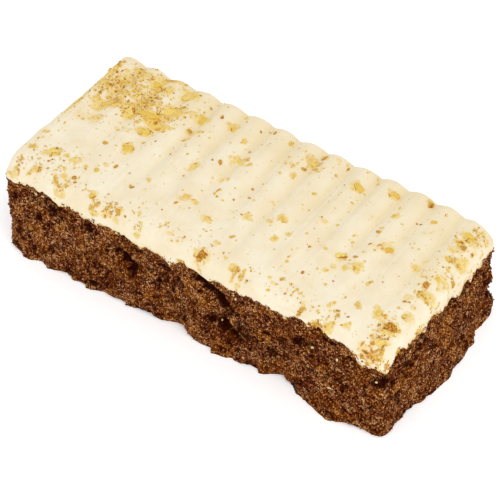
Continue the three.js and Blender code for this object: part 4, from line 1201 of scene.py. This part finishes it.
# Grains in a drift: the count for each square millimetre of its radii, their size, and the spread in radii
DRIFT_GRAINS, DRIFT_SIZE, DRIFT_SPREAD = 5, (0.45, 1.3), 0.95
# How far the specks of the top stay from its edge
SPECK_MARGIN = 0.9


def specks():
    """Specks of every zone: even draws in the first, crowded to the middle in the others."""
    sets = []
    for zone, (x, y, along, across, count) in enumerate(SPECK_ZONES):
        i = np.arange(count)
        pick = [draw(i, zone + 40, k) for k in range(8)]
        shift_x = 2 * pick[1] - 1 if zone == 0 else 2 * crowd(pick[1], pick[2])
        shift_y = 2 * pick[3] - 1 if zone == 0 else 2 * crowd(pick[3], pick[4])
        long = ranged(SPECK_SIZE, pick[5] ** 3)
        wide = long * (0.5 + 0.4 * pick[6])
        sets.append(np.stack([x + along * shift_x, y + across * shift_y, long, wide, math.pi * pick[7]], -1))
    counts = DRIFT_GRAINS * DRIFTS[:, 2] * DRIFTS[:, 3] * DRIFTS[:, 5]
    drift = np.repeat(np.arange(len(DRIFTS)), counts.astype(int))
    x, y, wide, deep = DRIFTS[drift, :4].T
    pick = [draw(np.arange(len(drift)), 59, k) for k in range(8)]
    long = ranged(DRIFT_SIZE, pick[5] ** 2)
    shift_x = DRIFT_SPREAD * wide * 2 * crowd(pick[1], pick[2])
    shift_y = DRIFT_SPREAD * deep * 2 * crowd(pick[3], pick[4])
    wide, turn = long * (0.6 + 0.3 * pick[6]), FULL_TURN * pick[7]
    sets.append(np.stack([x + shift_x, y + shift_y, long, wide, turn], -1))
    found = np.concatenate(sets)
    inside = abs(found[:, :2]) < [HALF_LENGTH - SPECK_MARGIN, HALF_WIDTH - SPECK_MARGIN]
    return found[inside.all(1)]


places = specks()
brown = 0.75 * between(draw(np.arange(len(places)), 47), 0.68, 1.0)
points, faces, values = chips(*on_icing(places, 0.0), brown, 3, 7, 6, 3)
make_piece("walnut_specks", points, faces, "icing", walnut_finish, values, smooth=False)

# %% [markdown]
# The knife also dragged specks down over the lip and up on to the roll of the edge. Each patch of the lip has
# a few round its middle, set on the lip's own surface.

# %% Specks on the lip
# Specks on each patch, and how far a speck goes inwards over the roll for each millimetre that it is drawn
# above the lip
LIP_SPECKS, ROLL_CLIMB = 26, 1.6


def lip_specks():
    """Specks on the lip: each patch there has a few round its middle, on the lip's own surface. A speck
    drawn above the lip lies on the roll, further in the higher it was drawn."""
    patch = np.repeat(np.arange(len(LIP_PATCHES)), LIP_SPECKS)
    start, height, wide, tall, brown = LIP_PATCHES[patch].T
    i = np.arange(len(patch))
    pick = [draw(i, 61, k) for k in range(8)]
    way = (start + 0.6 * wide * crowd(pick[0], pick[1])) % ROUND
    x, y, out_x, out_y, _ = round_corner(*rectangle_point(way))
    z = height + 0.7 * tall * crowd(pick[2], pick[3])
    limit = icing_top(x, y) - 0.8
    inward = ROLL_CLIMB * np.maximum(z - limit, 0)
    z = np.clip(z, lip_height(x, y) + 0.3, limit)
    out = (wall_relief(x, y, z) + LIP_OUT - 0.1) * np.clip(1 - inward / CORNER_RADIUS, 0, 1) ** 2 - inward
    x, y = x + out * out_x, y + out * out_y
    z = np.where(inward > 0, icing_top(x, y), z)
    long = 0.35 + 0.6 * pick[4] ** 2
    size = np.stack([long, 0.7 * long, long * (0.6 + 0.3 * pick[5])], -1)
    return np.stack([x, y, z], -1), size, FULL_TURN * pick[6], 0.6 * brown * pick[7]


points, faces, values = chips(*lip_specks(), 3, 7, 6, 13)
make_piece("lip_specks", points, faces, "icing", walnut_finish, values, smooth=False)

# %% [markdown]
# ## Loose grains of crumb
#
# Cutting tears grains loose, and they stay stuck to the cut face and to the icing's lower lip. They are the
# same cut balls as the walnut chips, in fewer faces, and set on the wall's own function.

# %% Grains stuck to the walls
# Grains on the walls and near the lip, and their length
GRAIN_COUNT, LIP_GRAIN_COUNT, GRAIN_LONG = 9000, 2400, (0.28, 0.75)


def grain_sizes(count, seed):
    """Length, width and height of each grain; the squared draw makes most of them small."""
    i = np.arange(count)
    long = ranged(GRAIN_LONG, draw(i, seed, 3) ** 2)
    wide = long * (0.6 + 0.35 * draw(i, seed, 4))
    return np.stack([long, wide, long * (0.55 + 0.4 * draw(i, seed, 5))], -1)


def stuck_grains(count, seed, low, high, lift, shade):
    """Grains on the wall between two heights, given as shares of the seam's height, lifted outwards. The
    shade is the share of the wall's own pore and depth values that the grains keep."""
    i = np.arange(count)
    way = ROUND * draw(i, seed, 1)
    height = seam(*rectangle_point(way)) * (low + (high - low) * draw(i, seed, 2))
    centre, outward, values = wall_points(way, height)
    turn = FULL_TURN * draw(i, seed, 6)
    centre, size = centre + outward * lift, grain_sizes(count, seed)
    points, faces, own = chips(centre, size, turn, 0 * turn, 2, 5, 4, seed)
    each = len(points) // count
    wall = {key: shade * np.repeat(values[key], each) for key in ("pore", "depth")}
    wall["carrot"] = np.repeat(values["carrot"], each)
    return points, faces, {**wall, "tone": 0.2 + 0.7 * own["tone"], "grain": 0 * own["tone"] + 1}


points, faces, values = stuck_grains(GRAIN_COUNT, 50, 0.02, 0.99, 0.06, 1.0)
make_piece("crumb_grains", points, faces, "sponge", crumb_finish, values, smooth=False)
points, faces, values = stuck_grains(LIP_GRAIN_COUNT, 51, 0.94, 1.02, 0.26, 0.0)
values["tone"] = 0.5 + 0.5 * values["tone"]
make_piece("lip_crumbs", points, faces, "sponge", crumb_finish, values, smooth=False)

# %% [markdown]
# The knife also leaves small flecks of icing on the crumb, most of them near the lip. They are flat chips in
# the icing's own finish, turned to lie along their wall.

# %% Flecks of icing
# Flecks of icing: place, height, width and tallness
FLECKS = np.array([
    (FRONT + 9.6, 25.0, 1.8, 0.8), (FRONT + 12, 25.4, 1.4, 0.7), (FRONT + 35.8, 25.2, 2.0, 1.0),
    (FRONT + 37.2, 24.5, 1.6, 0.6), (FRONT + 74, 24.5, 0.8, 1.6), (FRONT + 74.8, 23.3, 0.6, 0.9),
    (FRONT + 90, 25.6, 1.8, 0.6), (FRONT + 98.4, 19.5, 1.0, 0.8), (FRONT + 69.3, 10.7, 0.6, 0.6),
    (FRONT + 106.2, 19.9, 0.8, 1.1), (FRONT + 105.5, 10.3, 2.4, 0.5), (FRONT + 117.5, 18.3, 0.9, 0.7),
    (FRONT + 112.6, 25.2, 2.0, 0.9), (FRONT + 116, 28.0, 2.6, 0.8), (RIGHT + 12, 21.0, 0.6, 0.7),
    (RIGHT + 31, 14.0, 0.5, 0.6), (BACK + 33, 22.5, 1.4, 0.6), (BACK + 61, 24.0, 1.6, 0.7),
    (BACK + 92, 21.0, 0.7, 1.0), (LEFT + 16, 23.0, 1.2, 0.7), (LEFT + 40, 22.0, 0.8, 0.8),
])
# Thickness of a fleck, in millimetres
FLECK_THICK = 0.5

way, height, wide, tall = FLECKS.T
centre, outward, _ = wall_points(way, height)
turn = math.pi / 2 * np.searchsorted([RIGHT, BACK, LEFT], way, side="right")
size = np.stack([0.85 * wide, 0 * wide + FLECK_THICK, 0.85 * tall], -1)
points, faces, _ = chips(centre + 0.05 * outward, size, turn, 0 * turn, 5, 9, 6, 21)
oily = {"nut": np.full(len(points), 0.5), "skin": np.full(len(points), 0.35)}
make_piece("icing_flecks", points, faces, "icing", icing_finish, oily, smooth=False)

# %% [markdown]
# ## Floor and light
#
# A plain pale floor and soft studio light keep the eye on the cake. The main light is a large panel high at
# the front right, which lights the end face and draws a faint shade into each groove, and a weak one at the
# front left opens the long face. The pale surroundings light everything a little from all sides.

# %% Floor and studio light
# The paper is lit from below a little, as on a light table, which keeps the shade at the foot pale. It
# reaches FLOOR_HALF metres to each side
PAPER_GLOW, FLOOR_HALF = 0.25, 3
WORLD_LIGHT = 0.74
# Name, azimuth and elevation in degrees, distance and side in metres, and power in watts
LIGHTS = [("key_light", 60, 60, 1.2, 0.7, 4.5), ("fill_light", -40, 58, 1.2, 0.8, 0.6)]


def area_light(name, azimuth, elevation, distance, size, power):
    """A square panel aimed at the cake from the given direction."""
    data = bpy.data.lights.new(name, "AREA")
    data.shape, data.size, data.energy = "SQUARE", size, power
    lamp = bpy.data.objects.new(name, data)
    aim(lamp, target + distance * direction(math.radians(azimuth), math.radians(elevation)), target)
    bpy.context.collection.objects.link(lamp)


floor_mesh = bpy.data.meshes.new("floor")
corners = [(x * FLOOR_HALF, y * FLOOR_HALF, 0) for x, y in ((-1, -1), (1, -1), (1, 1), (-1, 1))]
floor_mesh.from_pydata(corners, [], [(0, 1, 2, 3)])
floor = bpy.data.objects.new("floor", floor_mesh)
floor_finish, tree, _ = new_material("matt_white_paper")
paper = add(tree, "BsdfPrincipled", {
    "Base Color": linear("#ffffff"), "Roughness": 0.9, "Emission Color": linear("#ffffff"),
    "Emission Strength": PAPER_GLOW,
}, out="BSDF")
add(tree, "OutputMaterial", {"Surface": paper})
floor_mesh.materials.append(floor_finish)
bpy.context.collection.objects.link(floor)
for light in LIGHTS:
    area_light(*light)
world = bpy.data.worlds.new("studio")
world.use_nodes = True
world.node_tree.nodes["Background"].inputs["Color"].default_value = (1, 1, 1, 1)
world.node_tree.nodes["Background"].inputs["Strength"].default_value = WORLD_LIGHT
bpy.context.scene.world = world
bpy.context.scene.view_settings.view_transform = "Standard"
print("floor of", 2 * FLOOR_HALF, "m, lights", [name for name, *_ in LIGHTS])
